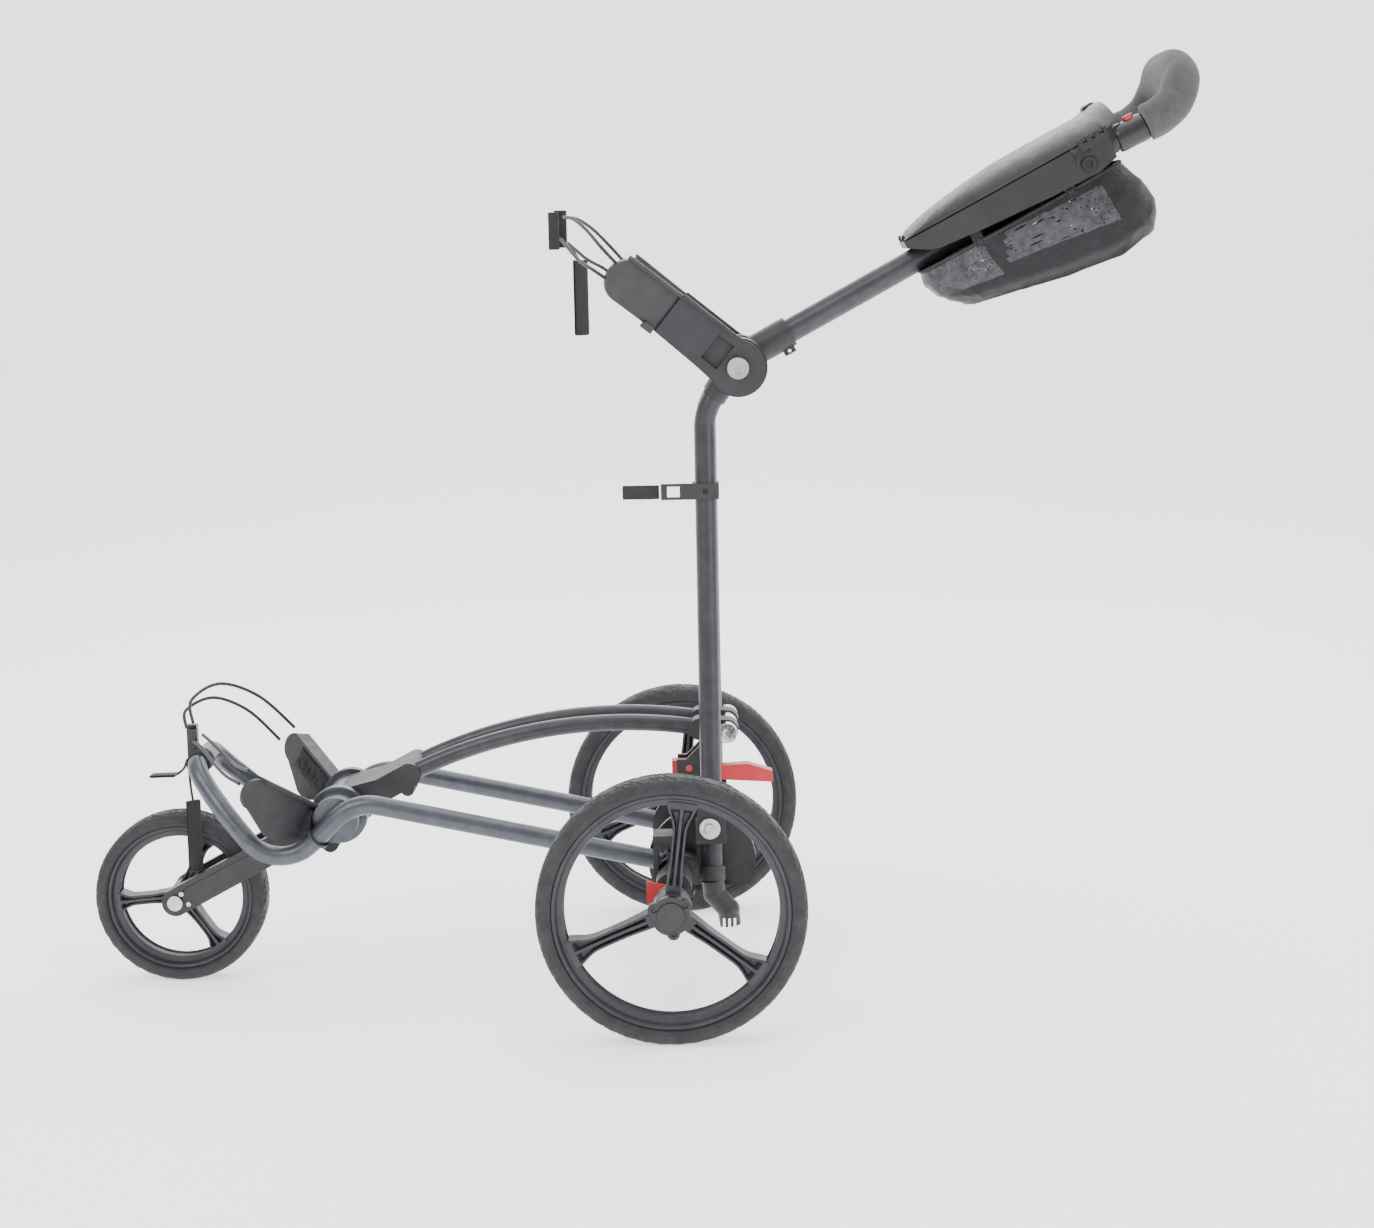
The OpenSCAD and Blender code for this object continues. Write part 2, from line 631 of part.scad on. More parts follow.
module upper_arm(side) color(black) placed() on_side(side) difference() {
    union() {
        arm_frame() side_plate(arm_in, arm_out) {
            circle(31);
            polygon([[0, -30], [34, -27], [fold_line, -25], [fold_line, 25], [40, 27], [0, 30]]);
        }
        panel_frame() translate([0, 6, 0]) rotate([90, 0, 0]) linear_extrude(6) {
            translate([-3, -24.8]) square([69, 49.6]);
            translate([66, 0]) circle(25);
        }
        arm_frame() translate([26, arm_in, -28]) cube([70, 14, 4]);
        panel_frame() translate([2, 0, -26]) cube([78, 12, 4]);
        panel_frame() translate([8, 6, 22]) cube([14, 6, 8]);
    }
    arm_frame() y_rod(0, 0, 8 + run_gap, 50, 90);
    arm_frame() translate([18, arm_in + 4, -16]) cube([22, 20, 32]);
}
module upper_arm_left() upper_arm(-1);
module upper_arm_right() upper_arm(1);

module upper_pads() color(rubber) placed() for (side = [-1, 1]) on_side(side) {
    panel_frame() translate([6, -3.2, -20]) cube([66, 3, 40]);
    panel_frame() translate([0, -3.2, 0]) rotate([90, 0, 0]) linear_extrude(2) pad_rings();
}

upper_buckle_at = [-116, 0, 862];
upper_left_a = [[-66, -104, 842], [-84, -76, 862], [-100, -44, 874], [-112, -14, 876]];
upper_left_b = [[-76, -102, 818], [-92, -76, 828], [-106, -44, 842], [-116, -14, 852]];

module mirrored_y(route) swept([for (p = route) [p[0], -p[1], p[2]]], cord_d / 2, 2);

module upper_cords() color(black) placed() {
    for (route = [upper_left_a, upper_left_b]) {
        swept(route, cord_d / 2, 2);
        mirrored_y(route);
    }
}

module upper_buckle() color(dark) placed() translate(upper_buckle_at) {
    translate([-14, -11, -22]) cube([12, 10, 42]);
    translate([-8, 1, -20]) cube([14, 10, 42]);
    translate([-10, -2, -12]) cube([8, 4, 26]);
}

module upper_webbing() color(black) placed() {
    translate([-98, -9, 742]) cube([5, 18, 86]);
    rod([-95.5, 0, 826], [-112, 0, 846], 2.5);
}

// ---- handle --------------------------------------------------------------------------------

// handle frame: origin on the upper joint, +X along the handle, +Z up from it
module handle_frame() translate([upper_joint[0], 0, upper_joint[1]]) rotate([0, -handle_slope,
    0]) children();
tube_w = 5;                              // height of the tube's axis in the handle frame
collar_end = 70;
console_x0 = 228;
console_x1 = 490;
console_floor = 18;
console_rim = 30;
front_half = 46;
rear_half = 118;

module handle_tube() color(black) placed() handle_frame() difference() {
    union() {
        rod([10, 0, tube_w], [460, 0, tube_w], handle_d / 2);
        y_rod(0, 0, 21, -23, 23);
    }
    y_rod(0, 0, 8 + run_gap, -40, 40);
}

// plastic collar on the tube next to the joint, with a small eye underneath
module handle_collar() color(dark) placed() handle_frame() difference() {
    union() {
        rod([25, 0, tube_w], [collar_end, 0, tube_w], 17.5);
        translate([52, -6, -18]) cube([14, 12, 8]);
    }
    rod([0, 0, tube_w], [collar_end + 5, 0, tube_w], handle_d / 2);
    y_rod(0, 0, 21.3, -30, 30);
    y_rod(59, -14.5, 2, -30, 30);
}

// plan outline of the console: narrow at the front, wide at the grip
module console_plan(inset) polygon([
    [console_x0 + inset, -front_half + inset], [console_x0 + 90, -80 + inset],
    [console_x1 - 20, -rear_half + inset],
    [console_x1 - inset, -rear_half + 16 + inset], [console_x1 - inset, rear_half - 16 - inset],
    [console_x1 - 20, rear_half - inset], [console_x0 + 90, 80 - inset],
    [console_x0 + inset, front_half - inset]
]);

// height of a handlebar limb's axis in the handle frame at a distance u from the joint
function limb_w(u) = 20 - 0.04 * (u - 412);
socket_r = 14.5;
socket_from = 428;
socket_to = 476;
bar_start = 440;
module limb_run(u0, u1, r) rod([u0, bar_y, limb_w(u0)], [u1, bar_y, limb_w(u1)], r);

lid_hinge = [console_x0 + 4, console_rim + 3];
hinge_pin_r = 2;
ear_in = 29;
ear_out = 34;

// side outline of the console shell: its underside follows the tube, its rim is level
module console_side() polygon([
    [console_x0 - 3, 24], [249, 9], [261, 5.5], [310, 1], [388, -4], [445, -5.5], [468, 0], [469, 15],
    [console_x1, 26], [console_x1, console_rim], [console_x0 - 3, console_rim]
]);

// comb of finger grips on the near side, standing in a notch of the lid
comb = [438, 472];
comb_top = 36;
module comb_block(gap) intersection() {
    translate([comb[0] - gap, -130, 22 - gap]) cube([comb[1] - comb[0] + 2 * gap, 60,
        comb_top - 22 + 2 * gap]);
    difference() {
        linear_extrude(60) console_plan(-3 - gap);
        translate([0, 0, -1]) linear_extrude(62) console_plan(4 + gap);
    }
}

ring_bolt = [438.6, 7.7];

module console_base() color(black) placed() handle_frame() difference() {
    union() {
        intersection() {
            translate([0, 0, -20]) linear_extrude(console_rim + 20) console_plan(0);
            side_plate(-130, 130) console_side();
        }
        comb_block(0);
        for (side = [-1, 1]) on_side(side) {
            limb_run(socket_from, socket_to, socket_r);
            difference() {
                y_rod(lid_hinge[0], lid_hinge[1], hinge_pin_r + 2, ear_in, ear_out);
                y_rod(lid_hinge[0], lid_hinge[1], hinge_pin_r + run_gap, ear_in - 1, ear_out + 1);
            }
        }
        y_rod(ring_bolt[0], ring_bolt[1], 8, -115, -104);
    }
    translate([0, 0, console_floor + 4]) linear_extrude(40) console_plan(4);
    difference() {
        translate([0, 0, -20]) linear_extrude(console_floor + 18) console_plan(4);
        for (side = [-1, 1]) on_side(side) limb_run(socket_from, socket_to, socket_r);
        translate([console_x0 + 10, -18, -20]) cube([210, 36, 60]);
    }
    rod([180, 0, tube_w], [461, 0, tube_w], handle_d / 2);
    for (side = [-1, 1]) on_side(side) limb_run(bar_start - 6, 500, bar_d / 2);
    for (i = [0 : 2]) translate([443 + 10 * i, -130, console_rim]) cube([5, 60, 20]);
    y_rod(ring_bolt[0], ring_bolt[1], 4, -120, -113);
}

foam_start = 513;
bar_points = [[530, 98, limb_w(530)], [552, 97, 21], [571, 84, 37], [577, 50, 50], [578, 0, 52]];

// one smooth tube: out along a limb, round the loop and back along the other limb
function bar_half(from_u) = concat([for (u = [from_u, 516]) [u, bar_y, limb_w(u)]], bar_points);
function bar_route(from_u) = let (half = bar_half(from_u), n = len(half)) concat(half,
    [for (i = [n - 2 : -1 : 0]) [half[i][0], -half[i][1], half[i][2]]]);
module bar_path(r, from_u) swept(bar_route(from_u), r, 3, 24, [-0.5, 0, 1]);

button_at = [500, -bar_y, 25.5];
button_r = 6;

module handlebar() color(black) placed() handle_frame() difference() {
    bar_path(bar_d / 2, bar_start);
    translate(button_at - [0, 0, 4]) cylinder(r = button_r, h = 12);
}

module foam_grip() color(rubber) placed() handle_frame() difference() {
    bar_path(foam_d / 2, foam_start);
    bar_path(bar_d / 2, bar_start);
}

// netting pouch under the console: walls and a floor, open upwards
pouch_rim = -9;
module pouch_side(inset) polygon([
    [console_x0 + 2 + inset, pouch_rim - inset], [console_x0 - 1 + inset, -25],
    [console_x0 + 7 + inset, -52 + inset],
    [265, -69 + inset], [310, -77 + inset], [364, -90 + inset], [430, -101 + inset], [477, -94 + inset],
    [496 - inset, -75 + inset], [493 - inset, -40], [480 - inset, pouch_rim - inset]
]);
module pouch_plan(inset) polygon([
    [console_x0 - 3 + inset, -42 + inset], [console_x0 + 90, -74 + inset], [420, -78 + inset],
    [520 - inset, -74 + inset],
    [520 - inset, 74 - inset], [420, 78 - inset], [console_x0 + 90, 74 - inset],
    [console_x0 - 3 + inset, 42 - inset]
]);

module mesh_pouch() color(dark) placed() handle_frame() difference() {
    union() {
        intersection() {
            side_plate(-90, 90) pouch_side(0);
            translate([0, 0, -110]) linear_extrude(110) pouch_plan(0);
        }
        // tabs that hang the pouch from the underside of the console
        intersection() {
            translate([0, 0, -20]) linear_extrude(console_floor + 18) pouch_plan(0);
            for (u = [293, 405]) translate([u, -90, -20]) cube([14, 180, 60]);
        }
    }
    intersection() {
        side_plate(-90, 90) translate([0, 5]) pouch_side(3);
        translate([0, 0, -110]) linear_extrude(110) pouch_plan(3);
    }
    translate([0, 0, -22]) linear_extrude(60) intersection() {
        pouch_plan(3);
        translate([console_x0 + 20, -90]) square([230, 180]);
    }
}

// ---- lid and button ------------------------------------------------------------------------

lid_edge = console_rim + 1.5;
module lid_profile(t) polygon([
    [console_x0 + 1.5 + t, lid_edge], [console_x0 + 1.5 + t, 34 - t / 2], [240 + t / 3, 39.5 - t],
    [273, 48 - t],
    [316, 53.5 - t], [356, 57 - t], [400, 56 - t], [470, 55.5 - t], [481, 60 - t],
    [console_x1 - 0.5 - t, 60.5 - t], [console_x1 - 0.5 - t, lid_edge]
]);

module lid_section(t) polygon([
    [-118 + t, lid_edge - 1], [-106 + t, 43 - t], [-56, 61 - t], [56, 61 - t], [106 - t, 43 - t],
    [118 - t, lid_edge - 1]
]);

module lid_solid(t) intersection() {
    side_plate(-130, 130) lid_profile(t);
    rotate([90, 0, 90]) translate([0, 0, console_x0 - 10]) linear_extrude(280) lid_section(t);
    translate([0, 0, console_rim - 10]) linear_extrude(60) console_plan(t + 0.5);
}

module console_lid() color(black) placed() handle_frame() {
    difference() {
        lid_solid(0);
        translate([0, 0, -0.01]) lid_solid(3);
        for (side = [-1, 1]) on_side(side) {
            y_rod(lid_hinge[0], lid_hinge[1], 5, ear_in - 0.4, ear_out + 0.4);
            limb_run(socket_from - 1, socket_to + 1, socket_r + 0.6);
        }
        comb_block(0.8);
    }
    y_rod(lid_hinge[0], lid_hinge[1], hinge_pin_r, -ear_out - 2, ear_out + 2);
    translate([474, -8, 52.5]) cube([14, 16, 7.5]);
}

module red_button() color(red) placed() handle_frame() translate(button_at)
    cylinder(r = button_r - run_gap, h = 8);

base_frame_tube();
hub_drum();
fork_arms();
front_axle();
arch_tube_left();
arch_tube_right();
arch_front_socket();
arch_rear_eyes();
cross_pin_roller();
rear_plate_left();
rear_plate_right();
axle_beam();
axle_housing_left();
axle_housing_right();
latch_tower();
rubber_foot();
lower_wing_left();
lower_wing_right();
lower_pads();
lower_cords();
lower_buckle();
lower_webbing();
frame_screws();
fold_lever();
brake_pedal();
front_tyre();
front_rim();
front_bearings();
tyre_left();
tyre_right();
rim_left();
rim_right();
bearings_left();
bearings_right();
hub_cap_left();
hub_cap_right();
wheel_release_left();
wheel_release_right();
post_tube_left();
post_tube_right();
post_clamps();
post_feet();
joint_housing();
joint_bolt();
strap_bracket();
strap_webbing();
upper_arm_left();
upper_arm_right();
upper_pads();
upper_cords();
upper_buckle();
upper_webbing();
handle_tube();
handle_collar();
console_base();
handlebar();
foam_grip();
mesh_pouch();
console_lid();
red_button();
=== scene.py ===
"""Looks of the folding push cart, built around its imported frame.

Lengths in this file are millimetres in the cart's own axes: X right towards the handle with the
rear axle at 0, Y away from the camera, Z up from the floor. at() turns them into metres in the
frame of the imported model.
"""

import math

import bpy
import numpy as np
from mathutils import Matrix, Vector, noise


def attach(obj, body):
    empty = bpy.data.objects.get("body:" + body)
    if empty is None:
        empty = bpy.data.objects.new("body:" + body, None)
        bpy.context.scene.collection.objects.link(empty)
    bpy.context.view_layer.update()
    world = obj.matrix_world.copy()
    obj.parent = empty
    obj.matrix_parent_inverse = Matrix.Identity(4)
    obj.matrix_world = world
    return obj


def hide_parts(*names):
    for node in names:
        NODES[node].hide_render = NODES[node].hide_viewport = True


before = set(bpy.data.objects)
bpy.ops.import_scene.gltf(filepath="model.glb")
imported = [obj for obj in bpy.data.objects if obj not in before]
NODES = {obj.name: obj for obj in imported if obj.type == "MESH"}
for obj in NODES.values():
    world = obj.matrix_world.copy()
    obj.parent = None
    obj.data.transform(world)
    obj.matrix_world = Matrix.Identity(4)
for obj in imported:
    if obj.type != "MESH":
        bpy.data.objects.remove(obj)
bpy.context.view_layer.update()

MM = 0.001
REAR_X = 47.2
TAU = 2 * math.pi


def at(x, y, z):
    return Vector(((x + REAR_X) * MM, y * MM, z * MM))


# ---- camera -----------------------------------------------------------------------------------

IMAGE_W = 1374
FOCAL_PX = 2628.8
YAW, PITCH, ROLL = -0.0217, 0.1425, -0.0212


def make_camera():
    data = bpy.data.cameras.new("camera")
    data.sensor_fit = "HORIZONTAL"
    data.sensor_width = 36.0
    data.lens = data.sensor_width * FOCAL_PX / IMAGE_W
    data.clip_end = 50
    cam = bpy.data.objects.new("camera", data)
    bpy.context.scene.collection.objects.link(cam)
    cp, sp = math.cos(PITCH), math.sin(PITCH)
    forward = Vector((math.sin(YAW) * cp, math.cos(YAW) * cp, -sp))
    level = Vector((math.cos(YAW), -math.sin(YAW), 0))
    upright = level.cross(forward)
    cr, sr = math.cos(ROLL), math.sin(ROLL)
    right, up = cr * level + sr * upright, cr * upright - sr * level
    turn = Matrix((right, up, -forward)).transposed().to_4x4()
    cam.matrix_world = Matrix.Translation(at(82.0, -2998.8, 851.5)) @ turn
    bpy.context.scene.camera = cam


make_camera()

# ---- materials --------------------------------------------------------------------------------


class Shader:
    """A node material with helpers that keep each recipe short."""

    def __init__(self, name):
        self.mat = bpy.data.materials.new(name)
        self.mat.use_nodes = True
        self.tree = self.mat.node_tree
        self.bsdf = self.tree.nodes["Principled BSDF"]
        self.coord = self.node("ShaderNodeTexCoord").outputs["Object"]
        self.height = None

    def node(self, kind, **values):
        made = self.tree.nodes.new(kind)
        for key, value in values.items():
            setattr(made, key, value)
        return made

    def link(self, a, b):
        self.tree.links.new(a, b)
        return b

    def set(self, **values):
        for key, value in values.items():
            self.bsdf.inputs[key.replace("_", " ")].default_value = value

    def noise(self, scale, detail=3.0, rough=0.55, stretch=None):
        source = self.coord
        if stretch:
            m = self.node("ShaderNodeMapping")
            m.inputs["Scale"].default_value = stretch
            self.link(source, m.inputs["Vector"])
            source = m.outputs["Vector"]
        n = self.node("ShaderNodeTexNoise")
        n.inputs["Scale"].default_value = scale
        n.inputs["Detail"].default_value = detail
        n.inputs["Roughness"].default_value = rough
        self.link(source, n.inputs["Vector"])
        return n.outputs["Fac"]

    def voronoi(self, scale, coord=None):
        v = self.node("ShaderNodeTexVoronoi", feature="F1")
        v.inputs["Scale"].default_value = scale
        self.link(coord or self.coord, v.inputs["Vector"])
        return v.outputs["Distance"]

    def spread(self, value, low, high, from_low=0.3, from_high=0.7):
        r = self.node("ShaderNodeMapRange", clamp=True)
        for name, number in (
            ("From Min", from_low),
            ("From Max", from_high),
            ("To Min", low),
            ("To Max", high),
        ):
            r.inputs[name].default_value = number
        self.link(value, r.inputs["Value"])
        return r.outputs["Result"]

    def math(self, op, a, b=None):
        m = self.node("ShaderNodeMath", operation=op)
        for i, v in enumerate((a, b)):
            if v is None:
                continue
            if isinstance(v, (int, float)):
                m.inputs[i].default_value = v
            else:
                self.link(v, m.inputs[i])
        return m.outputs[0]

    def colours(self, factor, dark, light):
        m = self.node("ShaderNodeMix", data_type="RGBA")
        m.inputs[6].default_value = (*dark, 1)
        m.inputs[7].default_value = (*light, 1)
        self.link(factor, m.inputs[0])
        return m.outputs[2]

    def colour(self, factor, dark, light):
        self.link(self.colours(factor, dark, light), self.bsdf.inputs["Base Color"])

    def roughness(self, factor):
        self.link(factor, self.bsdf.inputs["Roughness"])

    def bump(self, height, distance, strength=1.0):
        b = self.node("ShaderNodeBump")
        b.inputs["Distance"].default_value = distance
        b.inputs["Strength"].default_value = strength
        self.link(height, b.inputs["Height"])
        if self.height is not None:
            self.link(self.height, b.inputs["Normal"])
        self.height = b.outputs["Normal"]
        self.link(self.height, self.bsdf.inputs["Normal"])


def painted(name, dark, light, metallic, rough):
    s = Shader(name)
    s.set(Metallic=metallic, Coat_Weight=0.12, Coat_Roughness=0.25)
    s.colour(s.spread(s.noise(55, 4), 0, 1), dark, light)
    s.roughness(s.spread(s.noise(140, 5), rough - 0.05, rough + 0.07))
    s.bump(s.noise(1300, 2), 0.00010, 0.35)
    s.bump(s.noise(260, 2), 0.00022, 0.25)
    return s.mat


def moulded(name, dark, light, rough, grain=2600, depth=0.00012):
    s = Shader(name)
    s.set(Specular_IOR_Level=0.45)
    s.colour(s.spread(s.noise(38, 4), 0, 1), dark, light)
    s.roughness(s.spread(s.noise(90, 5), rough - 0.07, rough + 0.08))
    s.bump(s.voronoi(grain), depth, 0.55)
    s.bump(s.noise(420, 3), 0.00012, 0.3)
    return s.mat


def tyre_rubber():
    s = Shader("tyre_rubber")
    s.set(Specular_IOR_Level=0.35, Sheen_Weight=0.06, Sheen_Roughness=0.5)
    dust = s.spread(s.noise(46, 6, 0.65), 0, 1, 0.35, 0.75)
    s.colour(dust, (0.021, 0.021, 0.024), (0.040, 0.040, 0.043))
    s.roughness(s.spread(s.noise(160, 5), 0.60, 0.80))
    s.bump(s.noise(1900, 3), 0.00016, 0.5)
    s.bump(s.noise(240, 3), 0.00020, 0.3)
    return s.mat


def soft_rubber():
    s = Shader("grip_rubber")
    s.set(Specular_IOR_Level=0.3)
    s.colour(s.spread(s.noise(60, 5), 0, 1), (0.020, 0.020, 0.022), (0.036, 0.036, 0.038))
    s.roughness(s.spread(s.noise(150, 4), 0.62, 0.82))
    s.bump(s.voronoi(3200), 0.00012, 0.5)
    return s.mat


def closed_foam():
    s = Shader("closed_foam")
    s.set(Specular_IOR_Level=0.22, Sheen_Weight=0.18, Sheen_Roughness=0.6)
    cells = s.voronoi(1500)
    blotch = s.spread(s.noise(70, 5, 0.6), 0, 1)
    s.colour(blotch, (0.052, 0.052, 0.056), (0.082, 0.082, 0.088))
    s.roughness(s.spread(s.noise(300, 4), 0.80, 0.95))
    s.bump(cells, 0.00035, 0.8)
    s.bump(s.noise(600, 4, 0.7), 0.00030, 0.6)
    return s.mat


def braid():
    s = Shader("braided_cord")
    s.set(Specular_IOR_Level=0.3, Sheen_Weight=0.25, Sheen_Roughness=0.5)
    flecks = s.spread(s.noise(900, 3), 0, 1, 0.42, 0.62)
    s.colour(flecks, (0.012, 0.012, 0.014), (0.044, 0.044, 0.048))
    s.roughness(s.spread(s.noise(500, 3), 0.55, 0.75))
    s.bump(s.noise(2400, 3), 0.00018, 0.7)
    return s.mat


def uv_coord(s):
    """The mesh's own flat coordinates, which are metres along and across the cloth."""
    return s.node("ShaderNodeUVMap", uv_map="flat").outputs["UV"]


def woven(name, dark, light, pitch, sheen=0.3):
    """A plain weave: ribs that cross, drawn in the cloth's flat coordinates."""
    s = Shader(name)
    s.set(Specular_IOR_Level=0.25, Sheen_Weight=sheen, Sheen_Roughness=0.45)
    uv = uv_coord(s)
    split = s.node("ShaderNodeSeparateXYZ")
    s.link(uv, split.inputs[0])
    warp = s.math("SINE", s.math("MULTIPLY", split.outputs[0], TAU / pitch))
    weft = s.math("SINE", s.math("MULTIPLY", split.outputs[1], TAU / pitch))
    weave = s.math("MULTIPLY", warp, weft)
    threads = s.spread(weave, 0, 1, -0.8, 0.8)
    s.colour(s.math("MULTIPLY", threads, s.spread(s.noise(70, 4), 0.5, 1)), dark, light)
    s.roughness(s.spread(s.noise(300, 4), 0.68, 0.86))
    s.bump(weave, pitch * 0.16, 0.6)
    s.bump(s.noise(120, 4), 0.0006, 0.25)
    return s.mat


def netting():
    """Knitted netting: dark threads round small round openings."""
    s = Shader("netting")
    s.set(Specular_IOR_Level=0.3, Sheen_Weight=0.3, Sheen_Roughness=0.4)
    uv = uv_coord(s)
    holes = s.voronoi(1 / 0.0036, coord=uv)
    cloth = s.spread(holes, 0, 1, 0.20, 0.27)
    s.link(cloth, s.bsdf.inputs["Alpha"])
    s.colour(s.spread(s.noise(120, 4), 0, 1), (0.035, 0.035, 0.038), (0.085, 0.085, 0.092))
    s.roughness(s.spread(s.noise(300, 3), 0.55, 0.75))
    s.bump(holes, 0.0004, 0.7)
    s.mat.surface_render_method = "DITHERED"
    return s.mat


def metal(name, dark, light, rough, brushed=True):
    s = Shader(name)
    s.set(Metallic=1.0)
    s.colour(s.spread(s.noise(120, 4), 0, 1), dark, light)
    s.roughness(s.spread(s.noise(300, 4), rough - 0.05, rough + 0.09))
    stretch = (0.2, 4.0, 4.0) if brushed else None
    s.bump(s.noise(1500, 2, stretch=stretch), 0.00005, 0.3)
    return s.mat


MATS = {
    "frame": painted("frame_coat", (0.058, 0.063, 0.075), (0.088, 0.095, 0.112), 0.50, 0.36),
    "post": painted("post_coat", (0.026, 0.026, 0.031), (0.042, 0.042, 0.049), 0.30, 0.38),
    "dark_coat": painted("dark_coat", (0.010, 0.010, 0.012), (0.018, 0.018, 0.021), 0.20, 0.38),
    "shell": moulded("shell_plastic", (0.007, 0.007, 0.009), (0.013, 0.013, 0.016), 0.45),
    "lid": moulded("lid_plastic", (0.007, 0.007, 0.009), (0.013, 0.013, 0.015), 0.46),
    "gloss": moulded("gloss_plastic", (0.012, 0.012, 0.014), (0.020, 0.020, 0.023), 0.32, 1500, 5e-5),
    "rim": moulded("rim_plastic", (0.022, 0.023, 0.028), (0.034, 0.035, 0.041), 0.40),
    "arm": moulded("arm_plastic", (0.018, 0.018, 0.021), (0.028, 0.028, 0.032), 0.48),
    "tyre": tyre_rubber(),
    "rubber": soft_rubber(),
    "foam": closed_foam(),
    "cord": braid(),
    "webbing": woven("webbing_weave", (0.012, 0.012, 0.014), (0.046, 0.046, 0.050), 0.0011),
    "cloth": woven("pouch_cloth", (0.010, 0.010, 0.012), (0.034, 0.034, 0.038), 0.0008),
    "netting": netting(),
    "steel": metal("bright_steel", (0.42, 0.42, 0.44), (0.60, 0.60, 0.62), 0.28),
    "chrome": metal("chrome_plate", (0.68, 0.68, 0.70), (0.80, 0.80, 0.82), 0.12, False),
    "red": moulded("red_plastic", (0.52, 0.022, 0.030), (0.66, 0.040, 0.050), 0.34, 1500, 5e-5),
}

# ---- mesh helpers -----------------------------------------------------------------------------


BEVEL_ANGLE = math.radians(32)


def new_object(name, verts, faces, material, smooth_angle=35, uv=None):
    mesh = bpy.data.meshes.new(name)
    mesh.from_pydata([tuple(v) for v in verts], [], [tuple(f) for f in faces])
    mesh.validate()
    if uv is not None:
        layer = mesh.uv_layers.new(name="flat")
        for loop in mesh.loops:
            layer.data[loop.index].uv = uv[loop.vertex_index]
    obj = bpy.data.objects.new(name, mesh)
    bpy.context.scene.collection.objects.link(obj)
    mesh.materials.append(MATS[material])
    mesh.shade_smooth()
    if smooth_angle:
        mesh.set_sharp_from_angle(angle=math.radians(smooth_angle))
    return obj


def piece(obj, body, slot, *replaced):
    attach(obj, body)
    if replaced:
        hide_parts(*replaced)
    return obj


def rounded_edges(obj, width, segments=2):
    b = obj.modifiers.new("edges", "BEVEL")
    b.width = width * MM
    b.segments = segments
    b.limit_method = "ANGLE"
    b.angle_limit = BEVEL_ANGLE
    b.miter_outer = "MITER_ARC"
    n = obj.modifiers.new("normals", "WEIGHTED_NORMAL")
    n.keep_sharp = True
    n.weight = 60


def catmull(points, per):
    """The same smooth curve that the CAD source draws through given points."""
    pts = [Vector(p) for p in points]
    n = len(pts)
    out = []
    for i in range(n - 1):
        p0, p1, p2, p3 = pts[max(i - 1, 0)], pts[i], pts[i + 1], pts[min(i + 2, n - 1)]
        for k in range(per):
            t = k / per
            out.append(
                0.5
                * (
                    2 * p1
                    + (p2 - p0) * t
                    + (2 * p0 - 5 * p1 + 4 * p2 - p3) * t * t
                    + (3 * p1 - p0 - 3 * p2 + p3) * t**3
                )
            )
    out.append(pts[-1])
    return out


def frames_along(path):
    """A tangent and two steady cross directions at each point of a path."""
    n = len(path)
    tangents = [(path[min(i + 1, n - 1)] - path[max(i - 1, 0)]).normalized() for i in range(n)]
    side = tangents[0].cross(Vector((0, 1, 0)) if abs(tangents[0].y) < 0.8 else Vector((0, 0, 1)))
    side.normalize()
    out = []
    for i, t in enumerate(tangents):
        side = (side - side.dot(t) * t).normalized()
        out.append((t, side, t.cross(side)))
    return out


def tube_mesh(path, radius, sides, ends=True):
    """Rings round a path. radius is a number, or a function of the ring, its angle and length."""
    axes = frames_along(path)
    verts, faces = [], []
    run = 0.0
    for i, p in enumerate(path):
        run += (p - path[i - 1]).length if i else 0
        _, a, b = axes[i]
        for k in range(sides):
            ang = TAU * k / sides
            r = radius(i, ang, run) if callable(radius) else radius
            verts.append(p + r * (math.cos(ang) * a + math.sin(ang) * b))
    for i in range(len(path) - 1):
        for k in range(sides):
            j = (k + 1) % sides
            faces.append((i * sides + k, (i + 1) * sides + k, (i + 1) * sides + j, i * sides + j))
    if ends:
        faces.append(tuple(range(sides)))
        last = (len(path) - 1) * sides
        faces.append(tuple(last + k for k in reversed(range(sides))))
    return verts, faces


def capped(path, r, lip):
    """Path and radii that close a tube with small rounded lips."""
    steps = [0.0, 0.3, 0.7, 1.0]
    out, radii = [], []
    head = (path[1] - path[0]).normalized()
    tail = (path[-1] - path[-2]).normalized()
    for s in steps:
        out.append(path[0] + head * lip * s)
        radii.append(r - lip * (1 - math.sqrt(max(0.0, 1 - (1 - s) ** 2))))
    body = [p for p in path[1:-1] if (p - path[0]).length > lip and (p - path[-1]).length > lip]
    out += body
    radii += [r] * len(body)
    for s in reversed(steps):
        out.append(path[-1] - tail * lip * s)
        radii.append(r - lip * (1 - math.sqrt(max(0.0, 1 - (1 - s) ** 2))))
    return out, radii


def lathe_mesh(profile, segments, centre, shift=None):
    """Turns a closed outline of (radius, y) round the Y axis. shift moves a point's radius."""
    n = len(profile)
    prof = np.array(profile, float)
    ang = np.arange(segments) * TAU / segments
    r = np.tile(prof[:, 0], (segments, 1))
    y = np.tile(prof[:, 1], (segments, 1))
    if shift is not None:
        r = r + shift(ang[:, None], y, r)
    x = r * np.cos(ang)[:, None]
    z = r * np.sin(ang)[:, None]
    verts = np.stack([x, y, z], 2).reshape(-1, 3)
    verts = (verts + np.array(centre) + np.array([REAR_X, 0, 0])) * MM
    i = np.arange(segments)[:, None]
    j = np.arange(n)[None, :]
    i2, j2 = (i + 1) % segments, (j + 1) % n
    faces = np.stack([i * n + j, i * n + j2, i2 * n + j2, i2 * n + j], 2).reshape(-1, 4)
    return verts.tolist(), faces.tolist()


def turned(name, profile, segments, centre, material, shift=None, smooth_angle=35):
    verts, faces = lathe_mesh(profile, segments, centre, shift)
    return new_object(name, verts, faces, material, smooth_angle)


